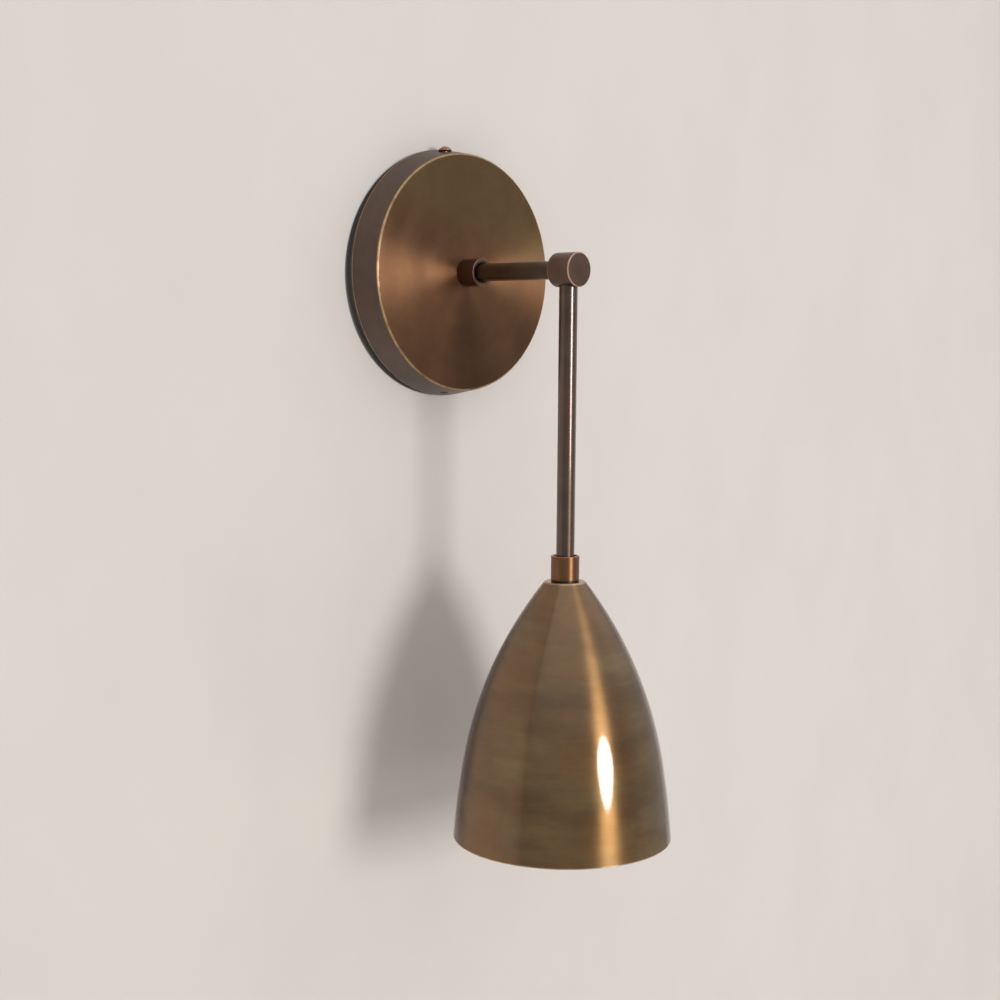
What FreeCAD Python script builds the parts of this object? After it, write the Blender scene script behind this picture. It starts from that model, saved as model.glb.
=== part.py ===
import FreeCAD, Part
import math
import os

import Sketcher
from FreeCAD import Placement, Rotation, Vector

# Hanging pendant wall sconce in antique brass, modelled at its real size in millimetres.
#
# Row frame: +Z is up, the wall is the plane Y = 0 and the room lies towards -Y. The origin is the
# middle of the canopy's back, on the wall. Turned pieces are drawn along their own axis, as on a lathe:
# arm pieces by their distance out from the wall, rod pieces by their distance below the arm's axis.

DOC = FreeCAD.newDocument("hanging_pendant_wall_sconce")

# Driving sizes in millimetres, except the angle, which is in degrees.
SIZES = {
    # canopy: a spun cup with a little draft
    "canopy_back_diameter": 133.0,
    "canopy_front_diameter": 127.0,
    "canopy_depth": 16.8,
    "canopy_wall": 1.2,
    "canopy_edge_radius": 1.4,
    # strap bracket behind the canopy
    "strap_width": 22.0,
    "strap_thickness": 1.6,
    "strap_ear_depth": 11.5,
    "strap_ear_gap": 0.9,
    "strap_bend_radius": 1.0,
    "strap_centre_hole": 12.0,
    "box_slot_spacing": 79.4,
    "box_slot_length": 14.0,
    "box_slot_width": 4.8,
    "side_screw_diameter": 4.0,
    "side_screw_depth": 7.4,
    "side_screw_offset": 7.4,
    "side_screw_bite": 4.0,
    "side_hole_clearance": 0.4,
    "dome_head_diameter": 7.3,
    "dome_head_height": 2.4,
    "dome_head_edge": 0.4,
    "dome_neck_diameter": 5.2,
    "dome_neck_depth": 0.55,
    "screw_seat_sink": 0.25,
    "screw_seat_clearance": 0.15,
    "set_screw_sink": 0.45,
    "set_screw_hex": 2.0,
    "set_screw_socket_depth": 1.8,
    "ground_screw_diameter": 3.5,
    "ground_screw_head": 7.0,
    "ground_screw_head_height": 2.2,
    "ground_screw_head_round": 0.7,
    "ground_screw_tip": 0.2,
    "ground_screw_length": 6.0,
    "ground_screw_drop": 24.0,
    "screw_slot_width": 0.9,
    "screw_slot_depth": 0.9,
    # tubes, couplings and the hollow threads that join them
    "tube_diameter": 9.5,
    "tube_wall": 0.8,
    "collar_length": 12.6,
    "collar_mouth_clearance": 1.35,
    "collar_rim": 1.3,
    "collar_mouth_depth": 0.7,
    "collar_throat_clearance": 0.6,
    "collar_throat_depth": 2.2,
    "collar_edge": 0.35,
    "nipple_bore": 6.4,
    "nipple_tail": 0.5,
    "thread_clearance": 0.04,
    "lock_nut_flats": 14.0,
    "lock_nut_thickness": 3.0,
    "lock_washer_diameter": 18.0,
    "lock_washer_thickness": 0.8,
    # knuckle at the end of the arm, with a swivel towards each tube
    "rod_axis_reach": 91.4,
    "knuckle_diameter": 17.6,
    "knuckle_length": 14.8,
    "knuckle_edge": 0.4,
    "knuckle_seat_depth": 1.1,
    "knuckle_seat_clearance": 0.4,
    "knuckle_lead_bore": 6.1,
    "knuckle_bore_runout": 0.2,
    "spindle_diameter": 6.5,
    "spindle_bore": 4.8,
    "spindle_bite": 2.6,
    "spindle_head_clearance": 0.2,
    "spindle_head_thickness": 1.2,
    "bush_length": 4.0,
    "running_clearance": 0.05,
    "face_gap": 0.05,
    "swivel_washer_thickness": 0.5,
    "swivel_washer_inset": 0.25,
    # hanging rod and shade
    "rod_drop": 146.4,
    "shade_washer_thickness": 0.7,
    "shade_washer_diameter": 14.5,
    "shade_height": 134.9,
    "shade_rim_diameter": 114.3,
    "shade_shoulder_diameter": 21.1,
    "shade_upper_radius": 210.0,
    "shade_lower_radius": 448.0,
    "shade_rim_flare": 4.4,
    "shade_wall": 1.0,
    "shade_shoulder_round": 1.2,
    # lamp holder
    "holder_diameter": 38.0,
    "holder_cap_height": 15.0,
    "holder_neck_diameter": 17.0,
    "holder_neck_height": 3.0,
    "holder_body_height": 31.0,
    "holder_mouth_diameter": 34.0,
    "holder_mouth_height": 7.75,
    "holder_wall": 1.8,
    "holder_core_thickness": 4.5,
    "holder_core_drop": 3.0,
    "shell_root_diameter": 27.2,
    "shell_length": 20.0,
    "shell_wall": 0.5,
    "thread_height": 0.6,
    "thread_pitch": 3.6,
    "contact_width": 5.0,
    "contact_bend": 1.0,
    "contact_thickness": 0.5,
    # bulb
    "bulb_diameter": 55.0,
    "bulb_length": 95.0,
    "bulb_cap_diameter": 26.0,
    "bulb_cap_length": 21.0,
    "bulb_cap_wall": 0.4,
    "bulb_glass_wall": 0.8,
    "bulb_button_diameter": 9.6,
    "bulb_button_height": 1.2,
    "bulb_insulator_height": 3.6,
    "bulb_insulator_inset": 0.8,
    "bulb_neck_overlap": 7.2,
    "bulb_neck_rise": 1.8,
    "bulb_stem_diameter": 3.5,
    "bulb_stem_length": 46.0,
    "bulb_stem_flare": 7.2,
    "filament_diameter": 1.8,
    "filament_length": 30.0,
    "filament_circle": 15.0,
    # leads and terminal block
    "lead_diameter": 4.0,
    "lead_bend": 5.4,
    "supply_lead_bend": 6.2,
    "supply_lead_lift": 5.0,
    "supply_lead_run": 14.0,
    "terminal_length": 20.0,
    "terminal_width": 16.0,
    "terminal_lift": 2.0,
    "terminal_entry_depth": 3.0,
    "terminal_pole_spacing": 8.0,
    "terminal_screw_diameter": 3.4,
    "terminal_screw_length": 5.0,
    "terminal_well_diameter": 4.2,
    "terminal_well_depth": 7.0,
}
FILAMENTS = 4
NUT_CORNER_RATIO = math.sqrt(3.0)


class Dim:
    """A size that carries its number and the spreadsheet formula behind it."""

    def __init__(self, text, value):
        self.text = text
        self.value = value

    def __add__(self, other):
        other = as_dim(other)
        return Dim(f"({self.text} + {other.text})", self.value + other.value)

    def __sub__(self, other):
        other = as_dim(other)
        return Dim(f"({self.text} - {other.text})", self.value - other.value)

    def __mul__(self, other):
        other = as_dim(other)
        return Dim(f"({self.text} * {other.text})", self.value * other.value)

    def __truediv__(self, other):
        other = as_dim(other)
        return Dim(f"({self.text} / {other.text})", self.value / other.value)


def as_dim(number):
    return number if isinstance(number, Dim) else Dim(repr(float(number)), float(number))


def make_sheet():
    sheet = DOC.addObject("Spreadsheet::Sheet", "Sizes")
    for row, (name, value) in enumerate(SIZES.items(), start=1):
        sheet.set(f"A{row}", name)
        sheet.set(f"B{row}", str(value))
        sheet.setAlias(f"B{row}", name)
    DOC.recompute()
    return sheet


make_sheet()
ZERO = as_dim(0)


def size(name):
    return Dim(f"Sizes.{name}", SIZES[name])


def half(name):
    return size(name) / 2


# ---------------------------------------------------------------- frames

ARM = "arm"
ROD = "rod"
TOP = "top"
BOTTOM = "bottom"
OUTWARD = Rotation(Vector(1, 0, 0), 90)
DOWNWARD = Rotation(Vector(1, 0, 0), 180)
UPWARD = Rotation()


def place(piece, frame, right=ZERO, up=ZERO):
    """Puts a piece drawn along its own Z axis into the row frame, and ties its place to the sheet."""
    turns = {ARM: OUTWARD, ROD: DOWNWARD, TOP: UPWARD, BOTTOM: DOWNWARD}
    side = size("side_screw_depth")
    out = {ARM: ZERO, ROD: size("rod_axis_reach"), TOP: side, BOTTOM: side}
    piece.Placement = Placement(Vector(right.value, -out[frame].value, up.value), turns[frame])
    piece.setExpression(".Placement.Base.x", right.text)
    piece.setExpression(".Placement.Base.y", f"-{out[frame].text}")
    piece.setExpression(".Placement.Base.z", up.text)
    return piece


# ---------------------------------------------------------------- sketch helpers

def new_body(label):
    body = DOC.addObject("PartDesign::Body", label)
    body.Label = label
    return body


def new_sketch(body, plane):
    sketch = body.newObject("Sketcher::SketchObject", f"{body.Name}_sketch")
    planes = {feature.Role: feature for feature in body.Origin.OriginFeatures}
    sketch.AttachmentSupport = (planes[plane], "")
    sketch.MapMode = "FlatFace"
    return sketch


def pin(sketch, geometry, point, across, along):
    """Holds one sketch point at (across, along), each measured from the sketch's origin."""
    for kind, axis, dim in (("DistanceX", -2, across), ("DistanceY", -1, along)):
        if dim.value == 0.0:
            sketch.addConstraint(Sketcher.Constraint("PointOnObject", geometry, point, axis))
            continue
        index = sketch.addConstraint(Sketcher.Constraint(kind, -1, 1, geometry, point, dim.value))
        sketch.setExpression(f"Constraints[{index}]", dim.text)


def arc_through(start, end, radius):
    """The shorter arc that runs counter-clockwise from start to end."""
    chord = end - start
    across = Vector(-chord.y, chord.x, 0).normalize()
    middle = (start + end) / 2
    centre = middle + across * math.sqrt(radius ** 2 - (chord.Length / 2) ** 2)
    return Part.Arc(start, centre - across * radius, end)


def close_outline(sketch, corners, arcs=None):
    """Draws a closed outline through corners. arcs maps an edge to its radius and turn (+1 is left)."""
    arcs = arcs or {}
    points = [Vector(across.value, along.value, 0) for across, along in corners]
    ends = []
    for index, start in enumerate(points):
        end = points[(index + 1) % len(points)]
        if index in arcs:
            radius, side = arcs[index]
            first, last = (start, end) if side > 0 else (end, start)
            edge = sketch.addGeometry(arc_through(first, last, radius.value), False)
            drawn = sketch.Geometry[edge]
            ends.append((edge, 1, 2) if side > 0 else (edge, 2, 1))
            if abs(drawn.Center.x) < 1e-6:
                sketch.addConstraint(Sketcher.Constraint("PointOnObject", edge, 3, -2))
            else:
                held = sketch.addConstraint(Sketcher.Constraint("Radius", edge, radius.value))
                sketch.setExpression(f"Constraints[{held}]", radius.text)
        else:
            edge = sketch.addGeometry(Part.LineSegment(start, end), False)
            ends.append((edge, 1, 2))
    for index, (edge, first, last) in enumerate(ends):
        next_edge, next_first, _ = ends[(index + 1) % len(ends)]
        sketch.addConstraint(Sketcher.Constraint("Coincident", edge, last, next_edge, next_first))
    for (edge, first, _), (across, along) in zip(ends, corners):
        pin(sketch, edge, first, across, along)


def circle(sketch, diameter, across=ZERO, along=ZERO):
    radius = diameter / 2
    middle = Vector(across.value, along.value, 0)
    edge = sketch.addGeometry(Part.Circle(middle, Vector(0, 0, 1), radius.value), False)
    held = sketch.addConstraint(Sketcher.Constraint("Radius", edge, radius.value))
    sketch.setExpression(f"Constraints[{held}]", radius.text)
    pin(sketch, edge, 3, across, along)


def feature(body, kind, sketch, **settings):
    made = body.newObject(f"PartDesign::{kind}", f"{body.Name}_{kind}")
    made.Profile = sketch
    for name, value in settings.items():
        if isinstance(value, Dim):
            made.setExpression(name, value.text)
        else:
            setattr(made, name, value)
    return made


def turned(label, corners, arcs=None):
    """A turned piece, not yet placed: corners are (radius, station) pairs round one half of its section."""
    body = new_body(label)
    sketch = new_sketch(body, "XZ_Plane")
    close_outline(sketch, corners, arcs)
    feature(body, "Revolution", sketch, ReferenceAxis=(sketch, ["V_Axis"]), Angle=360.0)
    return body


def lathe(label, frame, corners, arcs=None, **offset):
    return place(turned(label, corners, arcs), frame, **offset)


def ring(inner, outer, start, end):
    """Section of a plain ring between two radii and two stations."""
    return [(inner, start), (outer, start), (outer, end), (inner, end)]


def cut(body, plane, draw, depth, reverse, both_ways=False):
    """Cuts a sketched shape into a body and checks that it removed material."""
    DOC.recompute()
    before = body.Shape.Volume
    sketch = new_sketch(body, plane)
    draw(sketch)
    kind = feature(body, "Pocket", sketch, Length=depth, Reversed=reverse, Midplane=both_ways)
    DOC.recompute()
    if not body.Shape.Volume < before:
        raise RuntimeError(f"{kind.Name} of {body.Label} cuts nothing")
    return kind


def edges_at(shape, radius, station):
    """Names of a turned shape's circular edges at one radius and station."""
    found = []
    for index, edge in enumerate(shape.Edges, start=1):
        curve = edge.Curve
        if curve.TypeId != "Part::GeomCircle":
            continue
        if abs(curve.Radius - radius) < 1e-3 and abs(curve.Center.z - station) < 1e-3:
            found.append(f"Edge{index}")
    return found


def ease_edge(body, kind, radius, station, amount):
    """Rounds or chamfers one circular edge of a turned piece."""
    DOC.recompute()
    base = body.Tip
    made = body.newObject(f"PartDesign::{kind}", f"{body.Name}_{kind}")
    made.Base = (base, edges_at(base.Shape, radius.value, station.value))
    name = "Radius" if kind == "Fillet" else "Size"
    setattr(made, name, amount.value)
    made.setExpression(name, amount.text)
    body.Tip = made


def hollow_out(body, station, wall):
    """Leaves a skin of the given wall, open at the flat face that lies at the station."""
    DOC.recompute()
    base = body.Tip
    faces = []
    for index, face in enumerate(base.Shape.Faces, start=1):
        box = face.BoundBox
        if abs(box.ZMin - station.value) < 1e-3 and abs(box.ZMax - station.value) < 1e-3:
            faces.append(f"Face{index}")
    made = body.newObject("PartDesign::Thickness", f"{body.Name}_Thickness")
    made.Base = (base, faces)
    made.Reversed = True
    made.Value = wall.value
    made.setExpression("Value", wall.text)
    body.Tip = made


def primitive(kind, label, **settings):
    made = DOC.addObject(f"Part::{kind}", label)
    made.Label = label
    for name, value in settings.items():
        if isinstance(value, Dim):
            setattr(made, name, value.value)
            made.setExpression(name, value.text)
        else:
            setattr(made, name, value)
    return made


def at(piece, x=ZERO, y=ZERO, z=ZERO, turn=None):
    """Places a helper solid inside its own group, tied to the sheet."""
    piece.Placement = Placement(Vector(x.value, y.value, z.value), turn or Rotation())
    for axis, dim in (("x", x), ("y", y), ("z", z)):
        piece.setExpression(f".Placement.Base.{axis}", dim.text)
    return piece


def fuse(label, pieces):
    made = DOC.addObject("Part::MultiFuse", label)
    made.Label = label
    made.Shapes = pieces
    return made


def subtract(label, base, tool):
    made = DOC.addObject("Part::Cut", label)
    made.Label = label
    made.Base = base
    made.Tool = tool
    return made


def drop_by(dim):
    """The same size with its sign turned, for places on the far side of an axis."""
    return ZERO - dim


# ---------------------------------------------------------------- stations and radii shared by mating pieces

TUBE_R = half("tube_diameter")
THREAD_BORE_R = TUBE_R + size("thread_clearance")
TUBE_BORE_R = TUBE_R - size("tube_wall")
COLLAR_MOUTH_R = TUBE_R + size("collar_mouth_clearance")
COLLAR_THROAT_R = TUBE_R + size("collar_throat_clearance")
COLLAR_R = COLLAR_MOUTH_R + size("collar_rim")
SPINDLE_HEAD_R = TUBE_BORE_R - size("spindle_head_clearance")
SWIVEL_WASHER_R = TUBE_R - size("swivel_washer_inset")
CANOPY_FACE = size("canopy_depth")
CANOPY_INSIDE = CANOPY_FACE - size("canopy_wall")
KNUCKLE_BACK = size("rod_axis_reach") - half("knuckle_length")
KNUCKLE_FRONT = size("rod_axis_reach") + half("knuckle_length")
KNUCKLE_SEAT = half("knuckle_diameter") - size("knuckle_seat_depth")
SHADE_COLLAR_END = size("rod_drop") + size("collar_length")
SHADE_TOP = SHADE_COLLAR_END + size("shade_washer_thickness")
SHADE_RIM = SHADE_TOP + size("shade_height")
INNER_WASHER = SHADE_TOP + size("shade_wall")
INNER_NUT = INNER_WASHER + size("lock_washer_thickness")
HOLDER_TOP = INNER_NUT + size("lock_nut_thickness") + size("nipple_tail")
HOLDER_BOSS_END = HOLDER_TOP + size("holder_neck_height") + size("nipple_tail")
HOLDER_SPLIT = HOLDER_TOP + size("holder_cap_height")
HOLDER_MOUTH = HOLDER_SPLIT + size("holder_body_height")
CORE_TOP = HOLDER_SPLIT + size("holder_core_drop")
CORE_FACE = CORE_TOP + size("holder_core_thickness")
CONTACT_REACH = size("holder_core_drop") + size("running_clearance")
BULB_TOP = CORE_FACE + CONTACT_REACH
EAR_REACH = half("canopy_front_diameter") - size("canopy_wall") - size("strap_ear_gap")


def canopy_radius_at(station):
    """Outer radius of the canopy's drafted wall at a distance out from the wall."""
    draft = half("canopy_back_diameter") - half("canopy_front_diameter")
    return half("canopy_back_diameter") - draft * station / CANOPY_FACE


DOME_SEAT = canopy_radius_at(size("side_screw_depth")) - size("screw_seat_sink")


# ---------------------------------------------------------------- wall side

def mounting_strap():
    """Steel strap with two box slots and an ear at each end, tapped for the canopy's side screws."""
    body = new_body("mounting_strap")
    reach = EAR_REACH
    thick = size("strap_thickness")
    inside = reach - thick
    depth = size("strap_ear_depth")
    sketch = new_sketch(body, "YZ_Plane")
    corners = [
        (drop_by(reach), ZERO),
        (reach, ZERO),
        (reach, depth),
        (inside, depth),
        (inside, thick),
        (drop_by(inside), thick),
        (drop_by(inside), depth),
        (drop_by(reach), depth),
    ]
    close_outline(sketch, corners)
    feature(body, "Pad", sketch, Length=size("strap_width"), Midplane=True)
    bend_edges(body, [(reach, ZERO), (drop_by(reach), ZERO)], size("strap_bend_radius") + thick)
    bend_edges(body, [(inside, thick), (drop_by(inside), thick)], size("strap_bend_radius"))
    through = thick * 2
    spacing = half("box_slot_spacing")
    run = (size("box_slot_length") - size("box_slot_width")) / 2
    wide = half("box_slot_width")
    tapped = size("thread_clearance") * 2

    def centre_and_ground(sketch):
        circle(sketch, size("strap_centre_hole"))
        circle(sketch, size("ground_screw_diameter") + tapped, ZERO, drop_by(size("ground_screw_drop")))

    cut(body, "XY_Plane", centre_and_ground, through, True)
    for middle in (spacing, drop_by(spacing)):
        cut(body, "XY_Plane", lambda sketch: close_outline(sketch, [
            (drop_by(wide), middle - run),
            (wide, middle - run),
            (wide, middle + run),
            (drop_by(wide), middle + run),
        ]), through, True)
        for end in (middle - run, middle + run):
            cut(body, "XY_Plane", lambda sketch: circle(sketch, wide * 2, ZERO, end), through, True)
    side_hole(body, size("side_screw_diameter") + tapped)
    return place(body, ARM)


def bend_edges(body, places, radius):
    """Rounds the strap's straight edges that cross the sketch plane at the given places."""
    DOC.recompute()
    base = body.Tip
    names = []
    for index, edge in enumerate(base.Shape.Edges, start=1):
        middle = edge.BoundBox.Center
        if edge.BoundBox.XLength > 1.0 and any(
            math.hypot(middle.y - across.value, middle.z - along.value) < 1e-3 for across, along in places
        ):
            names.append(f"Edge{index}")
    made = body.newObject("PartDesign::Fillet", f"{body.Name}_Bend")
    made.Base = (base, names)
    made.Radius = radius.value
    made.setExpression("Radius", radius.text)
    body.Tip = made


def side_hole(body, diameter):
    """Drills straight through a wall piece from top to bottom, on the side screws' axis."""
    cut(
        body,
        "XZ_Plane",
        lambda sketch: circle(sketch, diameter, drop_by(size("side_screw_offset")), size("side_screw_depth")),
        size("canopy_back_diameter") * 2,
        False,
        both_ways=True,
    )


def canopy():
    """Spun brass cup, open towards the wall, with a hole for the arm and one for each side screw."""
    back = half("canopy_back_diameter")
    front = half("canopy_front_diameter")
    corners = [(ZERO, ZERO), (back, ZERO), (front, CANOPY_FACE), (ZERO, CANOPY_FACE)]
    body = turned("canopy_blank", corners)
    ease_edge(body, "Fillet", front, CANOPY_FACE, size("canopy_edge_radius"))
    hollow_out(body, ZERO, size("canopy_wall"))
    cut(body, "XY_Plane", lambda sketch: circle(sketch, THREAD_BORE_R * 2), CANOPY_FACE * 2, True)
    side_hole(body, size("side_screw_diameter") + size("side_hole_clearance"))
    clear = size("screw_seat_clearance")
    head_r = half("dome_head_diameter") + clear
    neck_r = half("dome_neck_diameter") + clear
    sink = size("dome_neck_depth")
    tools = {
        EAR_REACH: primitive("Cylinder", "screw_neck_hole", Radius=neck_r, Height=CANOPY_FACE),
        DOME_SEAT - sink: primitive("Cone", "screw_sink", Radius1=neck_r, Radius2=head_r, Height=sink),
        DOME_SEAT: primitive("Cylinder", "screw_seat", Radius=head_r, Height=CANOPY_FACE),
    }
    aside = drop_by(size("side_screw_offset"))
    upward = Rotation(Vector(1, 0, 0), -90)
    for start, tool in tools.items():
        at(tool, x=aside, y=start, z=size("side_screw_depth"), turn=upward)
    return place(subtract("canopy", body, fuse("screw_seat_tools", list(tools.values()))), ARM)


def canopy_dome_screw():
    """Top side screw: a low domed head seated in the canopy, and a shank tapped into the strap's ear."""
    shank = half("side_screw_diameter")
    neck = half("dome_neck_diameter")
    head = half("dome_head_diameter")
    tip = EAR_REACH - size("side_screw_bite")
    seat = DOME_SEAT
    edge = size("dome_head_edge")
    rise = size("dome_head_height") - edge
    dome = (head * head + rise * rise) / (rise * 2)
    corners = [
        (ZERO, tip),
        (shank, tip),
        (shank, seat - size("dome_neck_depth")),
        (neck, seat - size("dome_neck_depth")),
        (head, seat),
        (head, seat + edge),
        (ZERO, seat + size("dome_head_height")),
    ]
    offset = drop_by(size("side_screw_offset"))
    return lathe("canopy_dome_screw", TOP, corners, {5: (dome, 1)}, right=offset)


def canopy_set_screw():
    """Bottom side screw: headless, almost flush with the canopy, with a hexagon socket."""
    shank = half("side_screw_diameter")
    tip = EAR_REACH - size("side_screw_bite")
    end = canopy_radius_at(size("side_screw_depth")) - size("set_screw_sink")
    body = turned("set_screw_blank", [(ZERO, tip), (shank, tip), (shank, end), (ZERO, end)])
    socket = half("set_screw_hex") * (2 / NUT_CORNER_RATIO)
    deep = size("set_screw_socket_depth")
    tool = primitive("Prism", "set_screw_socket", Polygon=6, Circumradius=socket, Height=deep * 2)
    at(tool, z=end - deep)
    return place(subtract("canopy_set_screw", body, tool), BOTTOM, right=drop_by(size("side_screw_offset")))


def ground_screw():
    """Slotted earth screw in the strap, standing clear so that a wire fits under its head."""
    shank = half("ground_screw_diameter")
    head = half("ground_screw_head")
    tip = size("ground_screw_tip")
    seat = size("ground_screw_length") - size("ground_screw_head_height")
    top = size("ground_screw_length")
    corners = [(ZERO, tip), (shank, tip), (shank, seat), (head, seat), (head, top), (ZERO, top)]
    body = lathe("ground_screw", ARM, corners, up=drop_by(size("ground_screw_drop")))
    ease_edge(body, "Fillet", head, top, size("ground_screw_head_round"))
    wide = half("screw_slot_width")
    deep = top - size("screw_slot_depth")
    cut(
        body,
        "XZ_Plane",
        lambda sketch: close_outline(sketch, [
            (drop_by(wide), deep),
            (wide, deep),
            (wide, top + size("screw_slot_depth")),
            (drop_by(wide), top + size("screw_slot_depth")),
        ]),
        size("ground_screw_head") * 2,
        False,
        both_ways=True,
    )
    return body


def lock_washer(label, frame, start):
    ring_end = start + size("lock_washer_thickness")
    return lathe(label, frame, ring(THREAD_BORE_R, half("lock_washer_diameter"), start, ring_end))


def lock_nut(label, frame, start):
    """Hexagon lock nut with a plain bore at the thread's outside diameter."""
    corner = half("lock_nut_flats") * (2 / NUT_CORNER_RATIO)
    thick = size("lock_nut_thickness")
    blank = primitive("Prism", f"{label}_blank", Polygon=6, Circumradius=corner, Height=thick)
    drill = primitive("Cylinder", f"{label}_drill", Radius=THREAD_BORE_R, Height=thick * 3)
    at(blank, z=start)
    at(drill, z=start - thick)
    return place(subtract(label, blank, drill), frame)


def threaded_nipple(label, frame, start, end):
    return lathe(label, frame, ring(half("nipple_bore"), TUBE_R, start, end))


def collar(label, frame, start, mouth_first):
    """Turned coupling that joins a nipple to a tube, with a stepped mouth on the tube's side."""
    end = start + size("collar_length")
    edge = size("collar_edge")
    mouth_depth = size("collar_mouth_depth")
    throat_depth = size("collar_throat_depth")
    steps = [
        (COLLAR_MOUTH_R, ZERO),
        (COLLAR_MOUTH_R, mouth_depth),
        (COLLAR_THROAT_R, mouth_depth),
        (COLLAR_THROAT_R, throat_depth),
        (THREAD_BORE_R, throat_depth),
        (THREAD_BORE_R, size("collar_length")),
    ]
    if mouth_first:
        bore = [(radius, start + depth) for radius, depth in reversed(steps)]
    else:
        bore = [(radius, end - depth) for radius, depth in steps]
    corners = [
        (COLLAR_R - edge, start),
        (COLLAR_R, start + edge),
        (COLLAR_R, end - edge),
        (COLLAR_R - edge, end),
    ] + bore
    return lathe(label, frame, corners)


def tube(label, frame, start, end):
    return lathe(label, frame, ring(TUBE_BORE_R, TUBE_R, start, end))


ARM_TUBE_START = CANOPY_FACE + half("collar_length")
ARM_TUBE_END = KNUCKLE_BACK - size("swivel_washer_thickness") - size("face_gap")
ROD_START = KNUCKLE_SEAT + size("swivel_washer_thickness") + size("face_gap")
ROD_END = size("rod_drop") + half("collar_length")


def swivel_bush(label, frame, start):
    """Bush fixed inside a tube's end, on which the hollow spindle turns."""
    bore = half("spindle_diameter") + size("running_clearance")
    outer = TUBE_BORE_R - size("thread_clearance")
    return lathe(label, frame, ring(bore, outer, start, start + size("bush_length")))


def swivel_washer(label, frame, start):
    bore = half("spindle_diameter") + size("running_clearance")
    end = start + size("swivel_washer_thickness")
    return lathe(label, frame, ring(bore, SWIVEL_WASHER_R, start, end))


def arm_swivel_spindle():
    """Hollow shoulder spindle: fixed in the knuckle's back, its head held behind the arm's bush."""
    head_end = ARM_TUBE_END - size("bush_length") - size("face_gap") * 2
    head_start = head_end - size("spindle_head_thickness")
    bore = half("spindle_bore")
    shank = half("spindle_diameter")
    tip = KNUCKLE_BACK + size("spindle_bite")
    corners = [
        (bore, head_start),
        (SPINDLE_HEAD_R, head_start),
        (SPINDLE_HEAD_R, head_end),
        (shank, head_end),
        (shank, tip),
        (bore, tip),
    ]
    return lathe("arm_swivel_spindle", ARM, corners)


def rod_swivel_spindle():
    """The same spindle below the knuckle, its head held under the rod's bush."""
    head_start = ROD_START + size("bush_length") + size("face_gap") * 2
    head_end = head_start + size("spindle_head_thickness")
    bore = half("spindle_bore")
    shank = half("spindle_diameter")
    tip = KNUCKLE_SEAT - size("spindle_bite")
    corners = [
        (bore, tip),
        (shank, tip),
        (shank, head_start),
        (SPINDLE_HEAD_R, head_start),
        (SPINDLE_HEAD_R, head_end),
        (bore, head_end),
    ]
    return lathe("rod_swivel_spindle", ROD, corners)


def knuckle():
    """Solid turned cylinder in line with the arm, drilled from the back and from below for the lead."""
    outer = half("knuckle_diameter")
    bore = half("spindle_diameter")
    edge = size("knuckle_edge")
    deep = size("rod_axis_reach") + bore
    corners = [
        (bore, KNUCKLE_BACK),
        (outer - edge, KNUCKLE_BACK),
        (outer, KNUCKLE_BACK + edge),
        (outer, KNUCKLE_FRONT - edge),
        (outer - edge, KNUCKLE_FRONT),
        (ZERO, KNUCKLE_FRONT),
        (ZERO, deep),
        (bore, deep),
    ]
    body = turned("knuckle_blank", corners)
    reach = size("rod_axis_reach")
    lead_bore = size("knuckle_lead_bore")
    cut(body, "XZ_Plane", lambda sketch: circle(sketch, lead_bore, ZERO, reach), outer * 2, True)
    downward = Rotation(Vector(1, 0, 0), 90)
    socket_top = KNUCKLE_SEAT - size("spindle_bite") - size("knuckle_bore_runout")
    socket = primitive("Cylinder", "knuckle_socket", Radius=bore, Height=outer)
    seat_r = TUBE_R + size("knuckle_seat_clearance")
    recess = primitive("Cylinder", "knuckle_recess", Radius=seat_r, Height=outer)
    at(socket, y=drop_by(socket_top), z=reach, turn=downward)
    at(recess, y=drop_by(KNUCKLE_SEAT), z=reach, turn=downward)
    return place(subtract("knuckle", body, fuse("knuckle_tools", [socket, recess])), ARM)


# ---------------------------------------------------------------- leads and terminal block

TERMINAL_START = size("supply_lead_bend") + size("supply_lead_run") - size("terminal_entry_depth")


def quarter_bend(label, radius, x, y, z, first, second):
    """A quarter of a bent lead: its centreline turns from direction first to direction second."""
    bend = primitive("Torus", label, Radius1=radius, Radius2=half("lead_diameter"), Angle3=90.0)
    third = first.cross(second)
    matrix = FreeCAD.Matrix(
        first.x, second.x, third.x, 0,
        first.y, second.y, third.y, 0,
        first.z, second.z, third.z, 0,
        0, 0, 0, 1,
    )
    return at(bend, x, y, z, Placement(matrix).Rotation)


def straight_lead(label, length, x=ZERO, y=ZERO, z=ZERO, turn=None):
    run = primitive("Cylinder", label, Radius=half("lead_diameter"), Height=length)
    return at(run, x, y, z, turn)


def supply_lead():
    """Sheathed lead from the terminal block, through the nipple and arm, up to the arm's swivel."""
    bend = size("supply_lead_bend")
    lift = size("supply_lead_lift")
    towards_block = Rotation(Vector(0, 1, 0), 90)
    pieces = [
        straight_lead("supply_run", size("supply_lead_run"), x=bend, z=lift, turn=towards_block),
        quarter_bend("supply_bend", bend, bend, ZERO, lift + bend, Vector(-1, 0, 0), Vector(0, 0, -1)),
        straight_lead("supply_arm_run", KNUCKLE_BACK - lift - bend, z=lift + bend),
    ]
    return place(fuse("supply_lead", pieces), ARM)


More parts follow.
